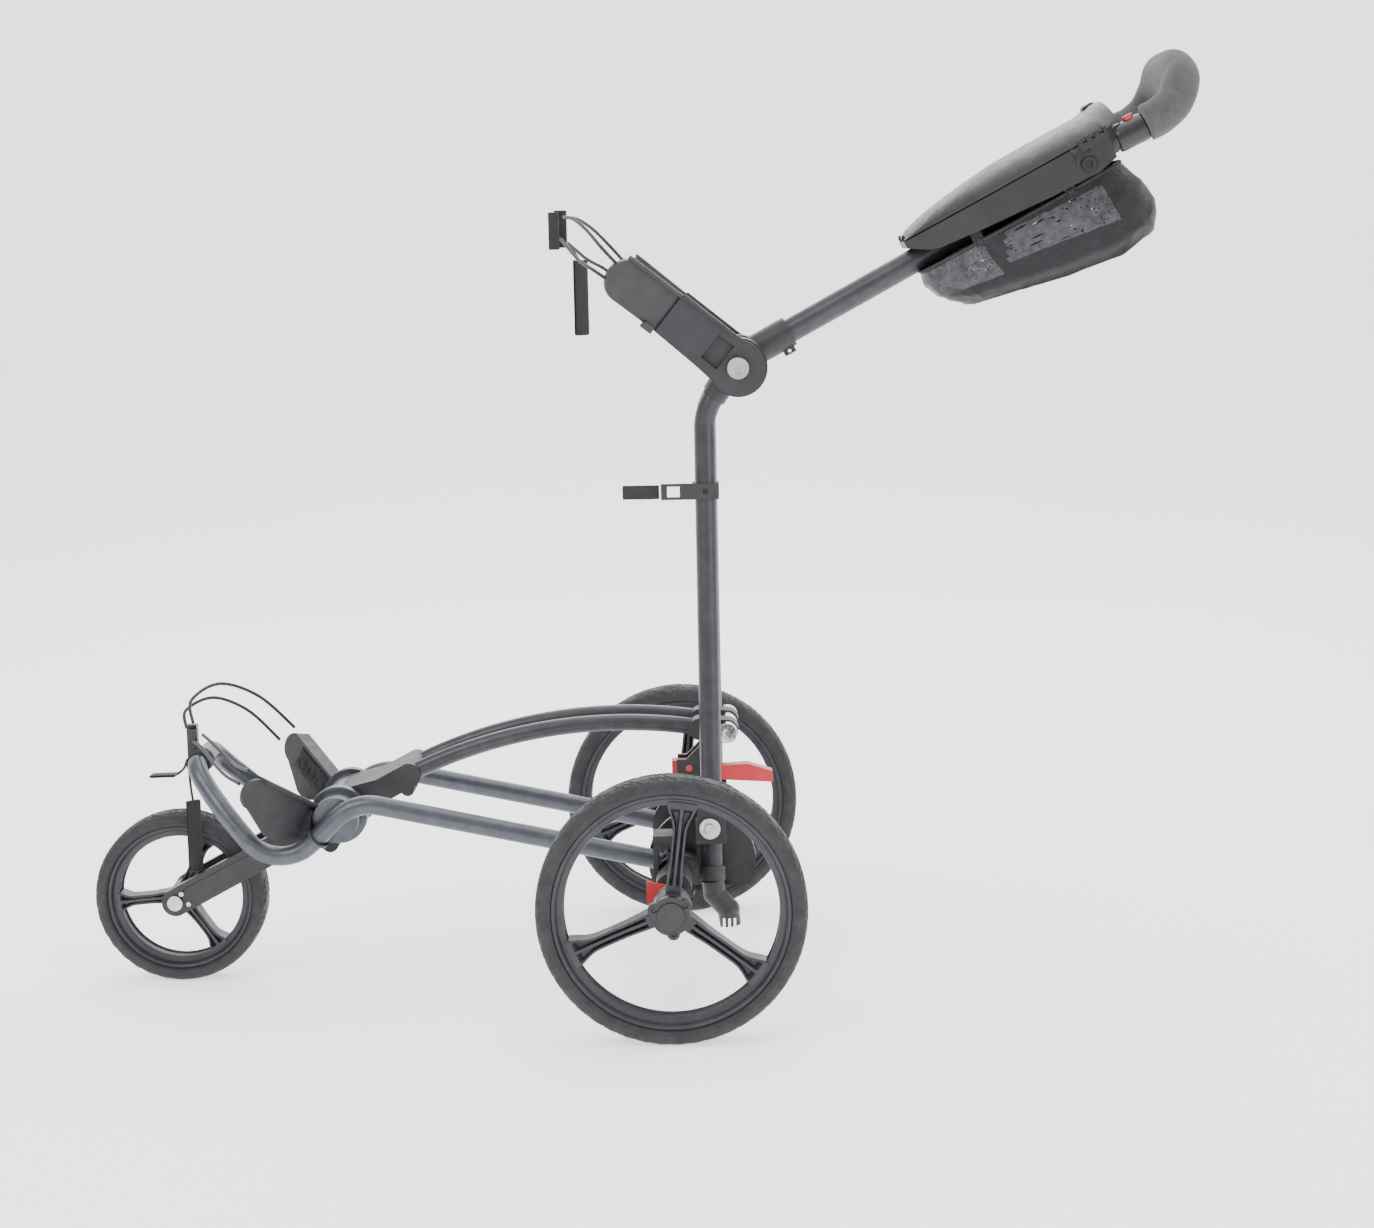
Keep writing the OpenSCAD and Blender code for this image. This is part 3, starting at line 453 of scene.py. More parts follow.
def slab(name, grid_top, grid_bottom, material, smooth_angle):
    """A closed plate between two grids of points with the same number of rows and columns."""
    rows, cols = len(grid_top), len(grid_top[0])
    verts = [p for row in grid_top for p in row] + [p for row in grid_bottom for p in row]
    low = rows * cols
    faces = []
    for i in range(rows - 1):
        for j in range(cols - 1):
            a, b = i * cols + j, (i + 1) * cols + j
            faces.append((a, b, b + 1, a + 1))
            faces.append((low + a, low + a + 1, low + b + 1, low + b))
    for j in range(cols - 1):
        b = (rows - 1) * cols + j
        faces.append((j, j + 1, low + j + 1, low + j))
        faces.append((b + 1, b, low + b, low + b + 1))
    for i in range(rows - 1):
        a, b = i * cols, (i + 1) * cols
        faces.append((b, a, low + a, low + b))
        a, b = a + cols - 1, b + cols - 1
        faces.append((a, b, low + b, low + a))
    return new_object(name, verts, faces, material, smooth_angle)


def bolt_head(name, centre, axis, r, height, material, body, slot, sides=48, socket=6):
    """A button head with a rounded edge and a six-sided socket."""
    up = Vector(axis).normalized()
    a = up.cross(Vector((0.3, 0.2, 1))).normalized()
    b = up.cross(a)
    rings = [(r, 0), (r, 0.45), (r * 0.93, 0.75), (r * 0.75, 0.95), (r * 0.52, 1.0)]
    hexed = [(r * 0.50, 1.0), (r * 0.50, 0.35)]
    verts, faces = [], []
    for rr, h in rings:
        for k in range(sides):
            t = TAU * k / sides
            verts.append(centre + (up * h * height + rr * (math.cos(t) * a + math.sin(t) * b)) * MM)
    for rr, h in hexed:
        for k in range(sides):
            t = TAU * k / sides
            sector = TAU / socket
            flat = math.cos(sector / 2) / math.cos((t % sector) - sector / 2)
            verts.append(
                centre + (up * h * height + rr * flat * (math.cos(t) * a + math.sin(t) * b)) * MM
            )
    for i in range(len(rings) + len(hexed) - 1):
        for k in range(sides):
            j = (k + 1) % sides
            faces.append((i * sides + k, i * sides + j, (i + 1) * sides + j, (i + 1) * sides + k))
    faces.append(tuple(reversed(range(sides))))
    last = (len(rings) + len(hexed) - 1) * sides
    faces.append(tuple(last + k for k in range(sides)))
    return piece(new_object(name, verts, faces, material, 30), body, slot)


# ---- places taken from the CAD source ---------------------------------------------------------

HANDLE_SLOPE = math.radians(28.2)
UPPER_JOINT = (81, 706)
REST_CROSS_X, REST_CROSS_Z = -548.6, 263


def hand(u, y, w):
    """A point in the handle's own frame: u along the handle and w up from it."""
    c, s = math.cos(HANDLE_SLOPE), math.sin(HANDLE_SLOPE)
    return at(UPPER_JOINT[0] + u * c - w * s, y, UPPER_JOINT[1] + u * s + w * c)


# ---- cords ------------------------------------------------------------------------------------

CORD_R = 2.0
LOWER_CORDS = {
    "far_a": [(-464, 124, 273.5), (-502, 104, 316), (-542, 74, 337), (-568, 32, 325), (-562, 6, 303)],
    "far_b": [(-484, 131, 257.5), (-516, 104, 299), (-550, 70, 321), (-574, 28, 314), (-570, 6, 297)],
    "near_a": [
        (-472, -136, 273.5), (-488, -110, 272.5), (-504, -80, 275), (-532, -40, 288), (-547, -14, 292),
    ],
    "near_b": [(-484, -131, 257.5), (-503, -108, 262), (-522, -78, 270), (-545, -36, 282), (-558, -14, 284)],
}
UPPER_CORDS = {
    "near_a": [(-50, -101, 824), (-66, -104, 842), (-84, -76, 862), (-100, -44, 874), (-112, -14, 876)],
    "near_b": [(-62, -100, 808), (-76, -102, 818), (-92, -76, 828), (-106, -44, 842), (-116, -14, 852)],
}
for key in ("a", "b"):
    UPPER_CORDS[f"far_{key}"] = [(x, -y, z) for x, y, z in UPPER_CORDS[f"near_{key}"]]

BRAID_TURN = 7.0  # millimetres along the cord for one turn of a strand
STRANDS = 4


def braided(i, ang, run):
    s = TAU * run / (BRAID_TURN * MM)
    relief = abs(math.sin(STRANDS * ang / 2 + s / 2)) * abs(math.sin(STRANDS * ang / 2 - s / 2))
    return CORD_R * MM * (0.94 + 0.10 * relief)


def cord_piece(name, route, body, node):
    path = catmull([at(*p) for p in route], 36)
    length = sum((b - a).length for a, b in zip(path, path[1:]))
    verts, faces = tube_mesh(path, braided, 16)
    obj = piece(new_object(name, verts, faces, "cord", 0), body, "cord", node)
    thin = [tuple(p) for p in path[::3]]
    tuple(path[0])


for key, route in LOWER_CORDS.items():
    cord_piece(f"lower_cord_{key}", route, "base", "lower_cords")
for key, route in UPPER_CORDS.items():
    cord_piece(f"upper_cord_{key}", route, "bag_bracket", "upper_cords")

# ---- wheels -----------------------------------------------------------------------------------


def smoothstep(x):
    x = np.clip(x, 0, 1)
    return x * x * (3 - 2 * x)


def tread(r, blocks):
    """Depth of the tread: two grooves round the tyre and slanted leaf-shaped cuts between them."""
    pitch = TAU * r / blocks

    def shift(ang, y, rr):
        ay = np.abs(y)
        on_tread = smoothstep((rr - (r - 6.5)) / 2.0)
        ring = 1.6 * smoothstep(1 - np.abs(ay - 12) / 1.5)
        lean = ang * r + 0.75 * ay
        along = (lean / pitch) % 1.0
        cut = np.zeros_like(ay + along)
        for start, wide in ((0.18, 3.4), (0.42, 2.8), (0.62, 2.2)):
            leaf = wide * np.sin(np.pi * np.clip((ay - 1.5) / 17.5, 0, 1)) ** 0.7
            away = np.abs(along - start) * pitch
            cut = np.maximum(cut, smoothstep((leaf / 2 - away) / 0.7 + 0.5) * (leaf > 0.3))
        shoulder = smoothstep((ay - 15.5) / 1.5) * smoothstep((20.5 - ay) / 1.5)
        notch = shoulder * smoothstep((0.32 - np.abs(((lean / pitch * 2) % 1.0) - 0.5)) / 0.06)
        return -on_tread * np.maximum(np.maximum(ring, 1.7 * cut), 0.7 * notch)

    return shift


def tyre_profile(r, rim_r):
    """Closed outline of a tyre: crown, shoulders, sidewalls with fine lines, and the seat."""
    crown_y = np.arange(-18.4, 18.5, 0.8)
    crown = [(r - 0.0016 * y * y - 0.9 * smoothstep((abs(y) - 13) / 6), y) for y in crown_y]
    shoulder = [(r - 2.6, 19.8), (r - 4.4, 21.2), (r - 6.6, 22.1)]
    wall = [(r - 9.0, 22.7), (r - 10.4, 22.8), (r - 10.9, 23.0), (r - 11.8, 23.0), (r - 12.3, 22.6)]
    low = [(rim_r + 1.2, 21.9), (rim_r + 0.8, 21.4), (rim_r + 0.4, 20.6), (rim_r + 0.2, 19.2)]
    right = shoulder + wall + low
    left = [(a, -b) for a, b in reversed(right)]
    return left + crown + right + [(rim_r + 0.2, 8.0), (rim_r + 0.2, -8.0)]


def spoke_piece(name, centre, hub_r, rim_r, angle, half_t, hub_w, mid_w, flare):
    """A spoke with a channel on each face and a raised middle rib, flaring where it meets the rim."""
    rows, cols = 44, 33
    r0, r1 = hub_r - 1.5, rim_r - 9.5
    c, s = math.cos(angle), math.sin(angle)
    top, bottom = [], []
    for i in range(rows):
        f = i / (rows - 1)
        r = r0 + (r1 - r0) * f
        at_hub, at_rim = 1 - smoothstep(f / 0.35), smoothstep((f - 0.62) / 0.38) ** 1.6
        w = mid_w + (hub_w - mid_w) * at_hub + flare * at_rim
        t = half_t * (0.92 + 0.08 * math.cos(TAU * f))
        row_t, row_b = [], []
        for j in range(cols):
            g = 2 * j / (cols - 1) - 1
            across = g * w
            reach = abs(across)
            bend = r - (1 - math.cos(min(1.0, reach / rim_r))) * rim_r * smoothstep((f - 0.7) / 0.3)
            wall_in = smoothstep((w - 2.4 - reach) / 1.4)
            rib_out = smoothstep((reach - 1.6) / 1.2)
            ends = smoothstep((f - 0.09) / 0.05) * smoothstep((0.93 - f) / 0.05)
            depth = (t * 0.55) * wall_in * rib_out * ends
            edge = 0.9 * smoothstep((reach - w + 1.2) / 1.2)
            h = t - depth - edge
            x, z = bend * c - across * s, bend * s + across * c
            row_t.append(at(centre[0] + x, centre[1] - h, centre[2] + z))
            row_b.append(at(centre[0] + x, centre[1] + h, centre[2] + z))
        top.append(row_t)
        bottom.append(row_b)
    return slab(name, top, bottom, "rim", 40)


def rim_profile(r):
    """Closed outline of a rim: rolled lips, a stepped well and a thick barrel."""
    half = [
        (r - 0.3, 12.0), (r + 0.1, 15.5), (r + 0.2, 17.2), (r - 0.4, 18.2), (r - 1.6, 18.7),
        (r - 3.0, 18.5), (r - 4.2, 17.6), (r - 5.0, 16.2), (r - 5.6, 14.0), (r - 6.6, 12.6),
        (r - 8.4, 12.0), (r - 11.2, 11.8), (r - 12.6, 11.0), (r - 13.2, 9.4),
        (r - 12.4, 7.6), (r - 11.0, 6.4),
    ]
    return [(a, -b) for a, b in reversed(half)] + half


def hub_profile(r, bore):
    half = [
        (bore, 24.4), (bore + 0.6, 25.0), (r - 1.2, 25.0), (r - 0.3, 24.6), (r, 23.6),
        (r, 19.0), (r - 1.4, 18.2), (r - 1.4, 15.6), (r, 14.8),
    ]
    return [(a, -b) for a, b in reversed(half)] + half


def make_wheel(prefix, centre, r, rim_r, body, first, rear, segments, blocks):
    tyre_node = f"tyre_{prefix}" if rear else f"{prefix}_tyre"
    rim_node = f"rim_{prefix}" if rear else f"{prefix}_rim"
    outline = tyre_profile(r, rim_r)
    tyre = turned(f"{prefix}_tyre_tread", outline, segments, centre, "tyre", tread(r, blocks), 42)
    piece(tyre, body, "tyre", tyre_node)
    rim = turned(f"{prefix}_rim_ring", rim_profile(rim_r), 240, centre, "rim")
    piece(rim, body, "black_plastic", rim_node)
    hub_r, bore = (20, 14) if rear else (15, 11)
    piece(turned(f"{prefix}_hub_barrel", hub_profile(hub_r, bore), 96, centre, "rim"), body, "black_plastic")
    wide = (8.5, 7.2, 9.0) if rear else (7.0, 5.6, 6.5)
    for i in range(3):
        ang = math.radians(first + 120 * i)
        sp = spoke_piece(f"{prefix}_spoke_{i + 1}", centre, hub_r, rim_r, ang, 13.0, *wide)
        piece(sp, body, "black_plastic")


SPOKE_FIRST = 83
make_wheel("left", (0, -280, 145), 145, 128, "left_wheel", SPOKE_FIRST, True, 900, 24)
make_wheel("right", (0, 280, 145), 145, 128, "right_wheel", SPOKE_FIRST, True, 900, 24)
make_wheel("front", (-582, 0, 100), 100, 85, "front_wheel", 65, False, 640, 17)

# ---- base tube --------------------------------------------------------------------------------

BASE_TUBE_R = 11.0
RAIL_Y = 98.5


def base_path():
    """Rail, hump, hook and limb of the near side, then the cross run and the far side."""
    rail_angle, fall_angle, limb_angle = (math.radians(a) for a in (12.1, 43, 130))
    rail_rear = Vector((-12, 0, 153.9))
    hump_start = Vector((-333.4, 0, 222.8))
    hump_r, hook_r, fall = 53, 48.7, 44
    hump_c = hump_start - hump_r * Vector((math.sin(rail_angle), 0, math.cos(rail_angle)))
    hump_exit = hump_c + hump_r * Vector((-math.sin(fall_angle), 0, math.cos(fall_angle)))
    hook_start = hump_exit - fall * Vector((math.cos(fall_angle), 0, math.sin(fall_angle)))
    hook_c = hook_start + hook_r * Vector((-math.sin(fall_angle), 0, math.cos(fall_angle)))

    def arc(c, r, a0, a1, n):
        return [
            c + r * Vector((math.cos(a0 + (a1 - a0) * k / n), 0, math.sin(a0 + (a1 - a0) * k / n)))
            for k in range(n + 1)
        ]

    pts = [rail_rear + (hump_start - rail_rear) * k / 12 for k in range(12)]
    pts += arc(hump_c, hump_r, math.pi / 2 - rail_angle, math.pi / 2 + fall_angle, 16)
    pts += [hump_exit + (hook_start - hump_exit) * k / 4 for k in range(1, 4)]
    pts += arc(hook_c, hook_r, math.pi * 1.5 + fall_angle, limb_angle + math.pi / 2, 26)
    near = [Vector((p.x, -RAIL_Y, p.z)) for p in pts]
    bends = [(-511.7, -85, 215.8), (-532.8, -68, 239.9), (-543.6, -57, 254.4)]
    bends.append((REST_CROSS_X, -42, REST_CROSS_Z))
    tail = [near[-2], near[-1], *[Vector(b) for b in bends], Vector((REST_CROSS_X, -18, REST_CROSS_Z))]
    near += catmull(tail, 6)[7:]
    far = [Vector((p.x, -p.y, p.z)) for p in reversed(near)]
    middle = [Vector((REST_CROSS_X, y, REST_CROSS_Z)) for y in (-8, 0, 8)]
    return [at(*p) for p in near + middle + far]


path, radii = capped(base_path(), BASE_TUBE_R * MM, 1.0 * MM)
verts, faces = tube_mesh(path, lambda i, a, s: radii[i], 40)
piece(new_object("base_tube_sweep", verts, faces, "frame", 50), "base", "powder_coat", "base_frame_tube")

# ---- handlebar and grip -----------------------------------------------------------------------

BAR_R, FOAM_R = 12.0, 20.5


def limb_w(u):
    return 20 - 0.04 * (u - 412)


def bar_path(from_u, per):
    half = [(u, 98, limb_w(u)) for u in (from_u, 516, 530)]
    half += [(552, 97, 21), (571, 84, 37), (577, 50, 50), (578, 0, 52)]
    whole = half + [(u, -y, w) for u, y, w in reversed(half[:-1])]
    return catmull([hand(*p) for p in whole], per)


path, radii = capped(bar_path(440, 10), BAR_R * MM, 0.8 * MM)
verts, faces = tube_mesh(path, lambda i, a, s: radii[i], 40)
piece(new_object("handlebar_sweep", verts, faces, "post", 50), "handle", "powder_coat", "handlebar")


def foam_mesh():
    """The foam sleeve: rounded ends that turn in to the bar, so it is hollow."""
    path = bar_path(513, 14)
    outer, radii = capped(path, FOAM_R * MM, 5.0 * MM)
    verts, faces = tube_mesh(outer, lambda i, a, s: radii[i], 64, ends=False)
    inner, thin = capped(path, (BAR_R + 0.3) * MM, 0.2 * MM)
    v2, f2 = tube_mesh(inner, (BAR_R + 0.3) * MM, 64, ends=False)
    shift = len(verts)
    faces += [tuple(shift + k for k in reversed(f)) for f in f2]
    last_a, last_b = (len(outer) - 1) * 64, shift + (len(inner) - 1) * 64
    for k in range(64):
        j = (k + 1) % 64
        faces.append((k, j, shift + j, shift + k))
        faces.append((last_a + j, last_a + k, last_b + k, last_b + j))
    return verts + v2, faces


verts, faces = foam_mesh()
foam = piece(new_object("foam_sleeve", verts, faces, "foam", 50), "handle", "foam", "foam_grip")


def limb_sleeve(side, name):
    """The moulded sleeve that runs from the console to the foam on each limb."""
    us = [478, 479, 484, 496, 506, 511, 512.4]
    rad = [13.4, 14.6, 15.4, 15.2, 15.6, 15.4, 14.2]
    path = [hand(u, side * 98, limb_w(u) - 2.2) for u in us]
    verts, faces = tube_mesh(path, lambda i, a, s: rad[i] * MM, 48)
    piece(new_object(name, verts, faces, "gloss", 35), "handle", "black_plastic")


limb_sleeve(-1, "limb_sleeve_near")
limb_sleeve(1, "limb_sleeve_far")

# ---- console lid ------------------------------------------------------------------------------

CONSOLE_X0, CONSOLE_X1, LID_EDGE = 228, 490, 31.5


def console_half(u):
    """Half width of the console in plan."""
    us = [CONSOLE_X0, CONSOLE_X0 + 90, CONSOLE_X1 - 20, CONSOLE_X1]
    return float(np.interp(u, us, [46, 80, 118, 103]))


def lid_top(u):
    us = [229.5, 231, 240, 256, 273, 316, 356, 400, 466, 481, 490]
    return float(np.interp(u, us, [33.2, 35.5, 40, 44.5, 48, 53.6, 56.6, 56.6, 56.2, 60, 60.4]))


def rib_band(u, g):
    """Two bands of fine ribs that cross each side of the lid, as a height between 0 and 1."""
    a = abs(g)
    first = smoothstep((a - (0.92 - (u - 241) / 150)) / 0.03)
    first *= smoothstep(((1.14 - (u - 241) / 190) - a) / 0.03)
    second = smoothstep((a - (1.55 - (u - 300) / 130)) / 0.03)
    second *= smoothstep(((1.98 - (u - 300) / 130) - a) / 0.03)
    ends = smoothstep((u - 242) / 6) * smoothstep((446 - u) / 6) * smoothstep((0.955 - a) / 0.02)
    return float(max(first, second) * ends)


def lid_surface(u, g, drop):
    """A point of the crowned lid: u along it and g across it from -1 to 1."""
    half = console_half(u) - 0.6 - drop
    crown = (1 - abs(g) ** 3.2) ** 0.8
    top = LID_EDGE + (lid_top(u) - LID_EDGE) * crown
    rib = 0.55 * rib_band(u, g) * (0.5 + 0.5 * math.sin(TAU * u / 2.6))
    return half * g, top + rib - drop * crown


def lid_piece():
    us = [229.6 + (489.4 - 229.6) * k / 400 for k in range(401)]
    gs = [math.copysign(1 - (1 - abs(g)) ** 1.35, g) for g in np.linspace(-1, 1, 81)]
    top, bottom = [], []
    for u in us:
        row_t, row_b = [], []
        for g in gs:
            y, w = lid_surface(u, g, 0)
            row_t.append(hand(u, y, w))
            inner_u = min(max(u, 232.2), 486.8)
            y2, w2 = lid_surface(inner_u, g, 2.4)
            row_b.append(hand(inner_u, y2, max(LID_EDGE, w2 - 0.4)))
        top.append(row_t)
        bottom.append(row_b)
    return slab("lid_crown", top, bottom, "lid", 40)


piece(lid_piece(), "lid", "black_plastic", "console_lid")


def box_piece(name, lo, hi, place, material, body, slot, bevel, *replaced):
    """A block with rounded edges between two corners of a local frame."""
    c = [place(x, y, z) for x in (lo[0], hi[0]) for y in (lo[1], hi[1]) for z in (lo[2], hi[2])]
    f = [(0, 1, 3, 2), (4, 6, 7, 5), (0, 4, 5, 1), (2, 3, 7, 6), (0, 2, 6, 4), (1, 5, 7, 3)]
    obj = new_object(name, c, f, material, 0)
    rounded_edges(obj, bevel, 3)
    return piece(obj, body, slot, *replaced)


# catch on the lid's rear lip, with finger ribs
box_piece("lid_catch", (473, -11, 57), (488, 11, 62), hand, "lid", "lid", "black_plastic", 1.6)
for k in range(4):
    u = 475.5 + 3 * k
    box_piece(
        f"lid_catch_rib_{k + 1}", (u, -8, 61.4), (u + 1.4, 8, 62.8), hand,
        "lid", "lid", "black_plastic", 0.5,
    )
# hinge knuckles
for side, word in ((-1, "near"), (1, "far")):
    ys = (side * 26, side * 37)
    p = [hand(232, y, 33) for y in (min(ys), max(ys))]
    verts, faces = tube_mesh([p[0], p[1]], 2.0 * MM, 24)
    piece(new_object(f"lid_pin_{word}", verts, faces, "lid", 40), "lid", "black_plastic")

# ---- pouch ------------------------------------------------------------------------------------

POUCH_RIM = -9.5
POUCH_CORNER = 0.42  # 1 would make the plan an oval and 0 a rectangle
POUCH_ROUND, POUCH_WALL_ROWS, POUCH_FLOOR_ROWS = 420, 64, 26
POUCH_FLOOR = [
    (227, -50), (235, -53), (265, -69), (310, -77.5), (364, -90), (430, -100), (477, -94), (496, -76),
]


def pouch_half(u):
    return float(np.interp(u, [226, 318, 420, 497], [43, 73, 77, 75]))


def pouch_point(phi, d, k):
    """phi goes round the pouch, d from rim to floor and k from the middle line to the wall."""
    front = float(np.interp(d, [0, 0.35, 0.75, 0.92, 1], [231, 228, 234, 243, 256]))
    rear = float(np.interp(d, [0, 0.4, 0.8, 0.93, 1], [480, 492, 495, 491, 482]))
    c, s = math.cos(phi), math.sin(phi)
    a = math.copysign(abs(c) ** POUCH_CORNER, c)
    b = math.copysign(abs(s) ** POUCH_CORNER, s)
    u = (front + rear) / 2 + a * (rear - front) / 2
    belly = 0.965 + 0.035 * math.sin(math.pi * min(1, d * 1.1)) - 0.13 * smoothstep((d - 0.80) / 0.2)
    y = b * pouch_half(u) * belly * k
    low = float(np.interp(u, *zip(*POUCH_FLOOR)))
    w = POUCH_RIM + (low - POUCH_RIM) * d - 1.2 * (1 - k * k)
    return u, y, w


def pouch_windows(u, y, w):
    """1 where the pouch is netting: a front panel and a long side window on each side."""
    if abs(y) < 0.5 * pouch_half(u):
        return u < 262 and w > -48
    front = u < 300 - 0.15 * (w + 10) and w < -12.5 and w > -44 - (u - 228) * 0.12
    side = 322 + 0.35 * (w + 30) < u < 446 and w < -13.5 - (u - 322) * 0.055 and w > -46 - (u - 322) * 0.14
    return front or side


def pouch_piece():
    verts, flats, local = [], [], []
    rows = [(i / POUCH_WALL_ROWS, 1.0) for i in range(POUCH_WALL_ROWS + 1)]
    rows += [(1.0, 1 - i / POUCH_FLOOR_ROWS) for i in range(1, POUCH_FLOOR_ROWS + 1)]
    for d, k in rows:
        for j in range(POUCH_ROUND):
            phi = TAU * j / POUCH_ROUND
            u, y, w = pouch_point(phi, d, k)
            q = Vector((u, y, w))
            soft = 1.5 if pouch_windows(u, y, w) else 0.9
            crease = 1 - abs(noise.noise(q * 0.034 + Vector((7, 1, 3)))) * 2
            fine = noise.noise(q * 0.11)
            pleat = math.sin(phi * 46) * 0.7 * math.exp(-d * 9) * (k > 0.99)
            out = (soft * (1.1 * crease + 0.8 * fine) - 1.4 + pleat) * min(1, 0.25 + 3 * d) * k
            n = Vector((math.cos(phi) * 0.6, math.sin(phi), -0.5 * d)).normalized()
            q += n * out
            local.append((u, y, w))
            verts.append(hand(*q))
            flats.append((0.98 * j / POUCH_ROUND, (d * 80 + (1 - k) * 70) * MM))
    faces, windows = [], []
    for i in range(len(rows) - 1):
        for j in range(POUCH_ROUND - 1):
            a = i * POUCH_ROUND + j
            faces.append((a, a + POUCH_ROUND, a + POUCH_ROUND + 1, a + 1))
        a = i * POUCH_ROUND
        faces.append((a + POUCH_ROUND - 1, a + 2 * POUCH_ROUND - 1, a + POUCH_ROUND, a))
    obj = new_object("pouch_cloth", verts, faces, "cloth", 0, flats)
    obj.data.materials.append(MATS["netting"])
    for poly in obj.data.polygons:
        mid = np.mean([local[v] for v in poly.vertices], axis=0)
        poly.material_index = 1 if pouch_windows(*mid) else 0
    weld = obj.modifiers.new("seam", "WELD")
    weld.merge_threshold = 0.00004
    thick = obj.modifiers.new("thickness", "SOLIDIFY")
    thick.thickness = 0.7 * MM
    thick.offset = 0
    thick.use_even_offset = False
    area = sum(p.area for p in obj.data.polygons)
    return obj, area


def ring_tube(name, loop, r, material, sides=16):
    """A closed ring of tube through a loop of points."""
    n = len(loop)
    verts, faces = [], []
    for i, p in enumerate(loop):
        t = (loop[(i + 1) % n] - loop[i - 1]).normalized()
        a = t.cross(Vector((0.31, 0.05, 0.95))).normalized()
        b = t.cross(a)
        for k in range(sides):
            ang = TAU * k / sides
            verts.append(p + (math.cos(ang) * a + math.sin(ang) * b) * r * MM)
    for i in range(n):
        i2 = (i + 1) % n
        for k in range(sides):
            j = (k + 1) % sides
            faces.append((i * sides + k, i2 * sides + k, i2 * sides + j, i * sides + j))
    return new_object(name, verts, faces, material, 0)


pouch, pouch_area = pouch_piece()
piece(pouch, "handle", "mesh", "mesh_pouch")
hem_loop = [hand(*pouch_point(TAU * j / 240, 0, 0.985)) for j in range(240)]
hem = piece(ring_tube("pouch_hem", hem_loop, 2.1, "rubber"), "handle", "mesh")
for side in (-1, 1):
    for u in (300, 412):
        y = side * (pouch_half(u) - 1.2)
        word = "near" if side < 0 else "far"
        tab = box_piece(
            f"pouch_tab_{word}_{u}", (u - 6, y - 0.8, -14), (u + 6, y + 0.8, 15.5), hand,
            "cloth", "handle", "mesh", 0.5,
        )
        snap_at = hand(u, y + side * 0.8, -9)
        out = hand(u, y + side * 10, -9) - snap_at
        bolt_head(f"pouch_snap_{word}_{u}", snap_at, out, 2.8, 1.6, "gloss", "handle", "black_plastic")

# ---- straps and rubber pads -------------------------------------------------------------------

STRAP_THICK = 1.5
TIE_R = 1.5
LAYER_GAP = 2  # from the middle of a folded strap to the middle of each layer


def loop_cord(name, points, body):
    """A thin cord that ties a strap to its buckle."""
    verts, faces = tube_mesh(catmull([at(*p) for p in points], 10), TIE_R * MM, 14)
    return piece(new_object(name, verts, faces, "cord", 0), body, "cord")


def strap_piece(name, points, across, width, body, node):
    """A woven strap along points, as wide as width in the direction across."""
    path = catmull([at(*p) for p in points], 14)
    wide = Vector(across).normalized()
    levels = np.linspace(-1, 1, 9)
    section = [(v, 1 - 0.75 * v**6) for v in levels] + [(v, -1 + 0.75 * v**6) for v in levels[::-1]]
    count = len(section)
    verts, uv, run = [], [], 0.0
    for i, p in enumerate(path):
        before, after = path[max(i - 1, 0)], path[min(i + 1, len(path) - 1)]
        out = (after - before).normalized().cross(wide).normalized()
        run += (p - path[i - 1]).length if i else 0.0
        for v, h in section:
            verts.append(p + wide * v * width / 2 * MM + out * h * STRAP_THICK / 2 * MM)
            uv.append((run, v * width / 2 * MM))
    faces = []
    for i in range(len(path) - 1):
        for j in range(count):
            k = (j + 1) % count
            faces.append((i * count + j, i * count + k, (i + 1) * count + k, (i + 1) * count + j))
    faces.append(tuple(range(count))[::-1])
    faces.append(tuple((len(path) - 1) * count + j for j in range(count)))
    obj = piece(new_object(name, verts, faces, "webbing", 40, uv), body, "webbing", node)


def folded(x, y, top, bottom, out):
    """The middle of a strap folded at its bottom, with its two layers side by side."""
    a = (x + out[0] * LAYER_GAP, y + out[1] * LAYER_GAP)
    b = (x - out[0] * LAYER_GAP, y - out[1] * LAYER_GAP)
    levels = [top + (bottom + 4 - top) * t for t in (0, 0.25, 0.5, 0.75, 1)]
    down = [(a[0], a[1], z) for z in levels]
    up = [(b[0], b[1], z) for z in levels[::-1]]
    turn = [(x + out[0], y + out[1], bottom + 1), (x - out[0], y - out[1], bottom + 1)]
    return down + turn + up


STRAP_TURN = math.radians(48)  # how far a hanging strap is turned to show its width
ACROSS = (math.sin(STRAP_TURN), math.cos(STRAP_TURN), 0)
LAYERS = (math.cos(STRAP_TURN), -math.sin(STRAP_TURN))
tie = loop_cord("lower_strap_tie", [(-557.5, -34.5, 217), (-563, -20, 238), (-566.5, -4, 260.5)], "base")
strap_piece(
    "lower_strap", folded(-557.5, -34.5, 219, 135, LAYERS), ACROSS, 17, "base", "lower_webbing",
)
tie = loop_cord("front_strap_tie", [(-583, 0, 242.5), (-574, 1, 250), (-570, 2, 260.5)], "base")
front = [(-582, 0, 243.8), (-597, 0, 243.6), (-610, 0, 243.2), (-613, 0, 242)]
front += [(-610, 0, 240.9), (-597, 0, 241.2), (-584, 0, 241.4)]
strap_piece("front_strap", front, (0, 1, 0), 17, "base", "lower_webbing")
tie = loop_cord("upper_strap_tie", [(-95.5, 0, 825), (-103, 0, 838), (-112, 0, 846)], "bag_bracket")
strap_piece(
    "upper_strap", folded(-95.5, 0, 828, 743, LAYERS), ACROSS, 18, "bag_bracket", "upper_webbing",
)
post_loop = [(-10, -64.8, 569), (-24, -64.6, 569), (-40, -64.8, 569), (-48, -64.8, 569), (-50.5, -65.8, 569)]
post_loop += [(-48, -66.8, 569), (-40, -66.8, 569), (-24, -67, 569), (-12, -66.8, 569)]
strap_piece("post_strap", post_loop, (0, 0, 1), 15.6, "posts", "strap_webbing")


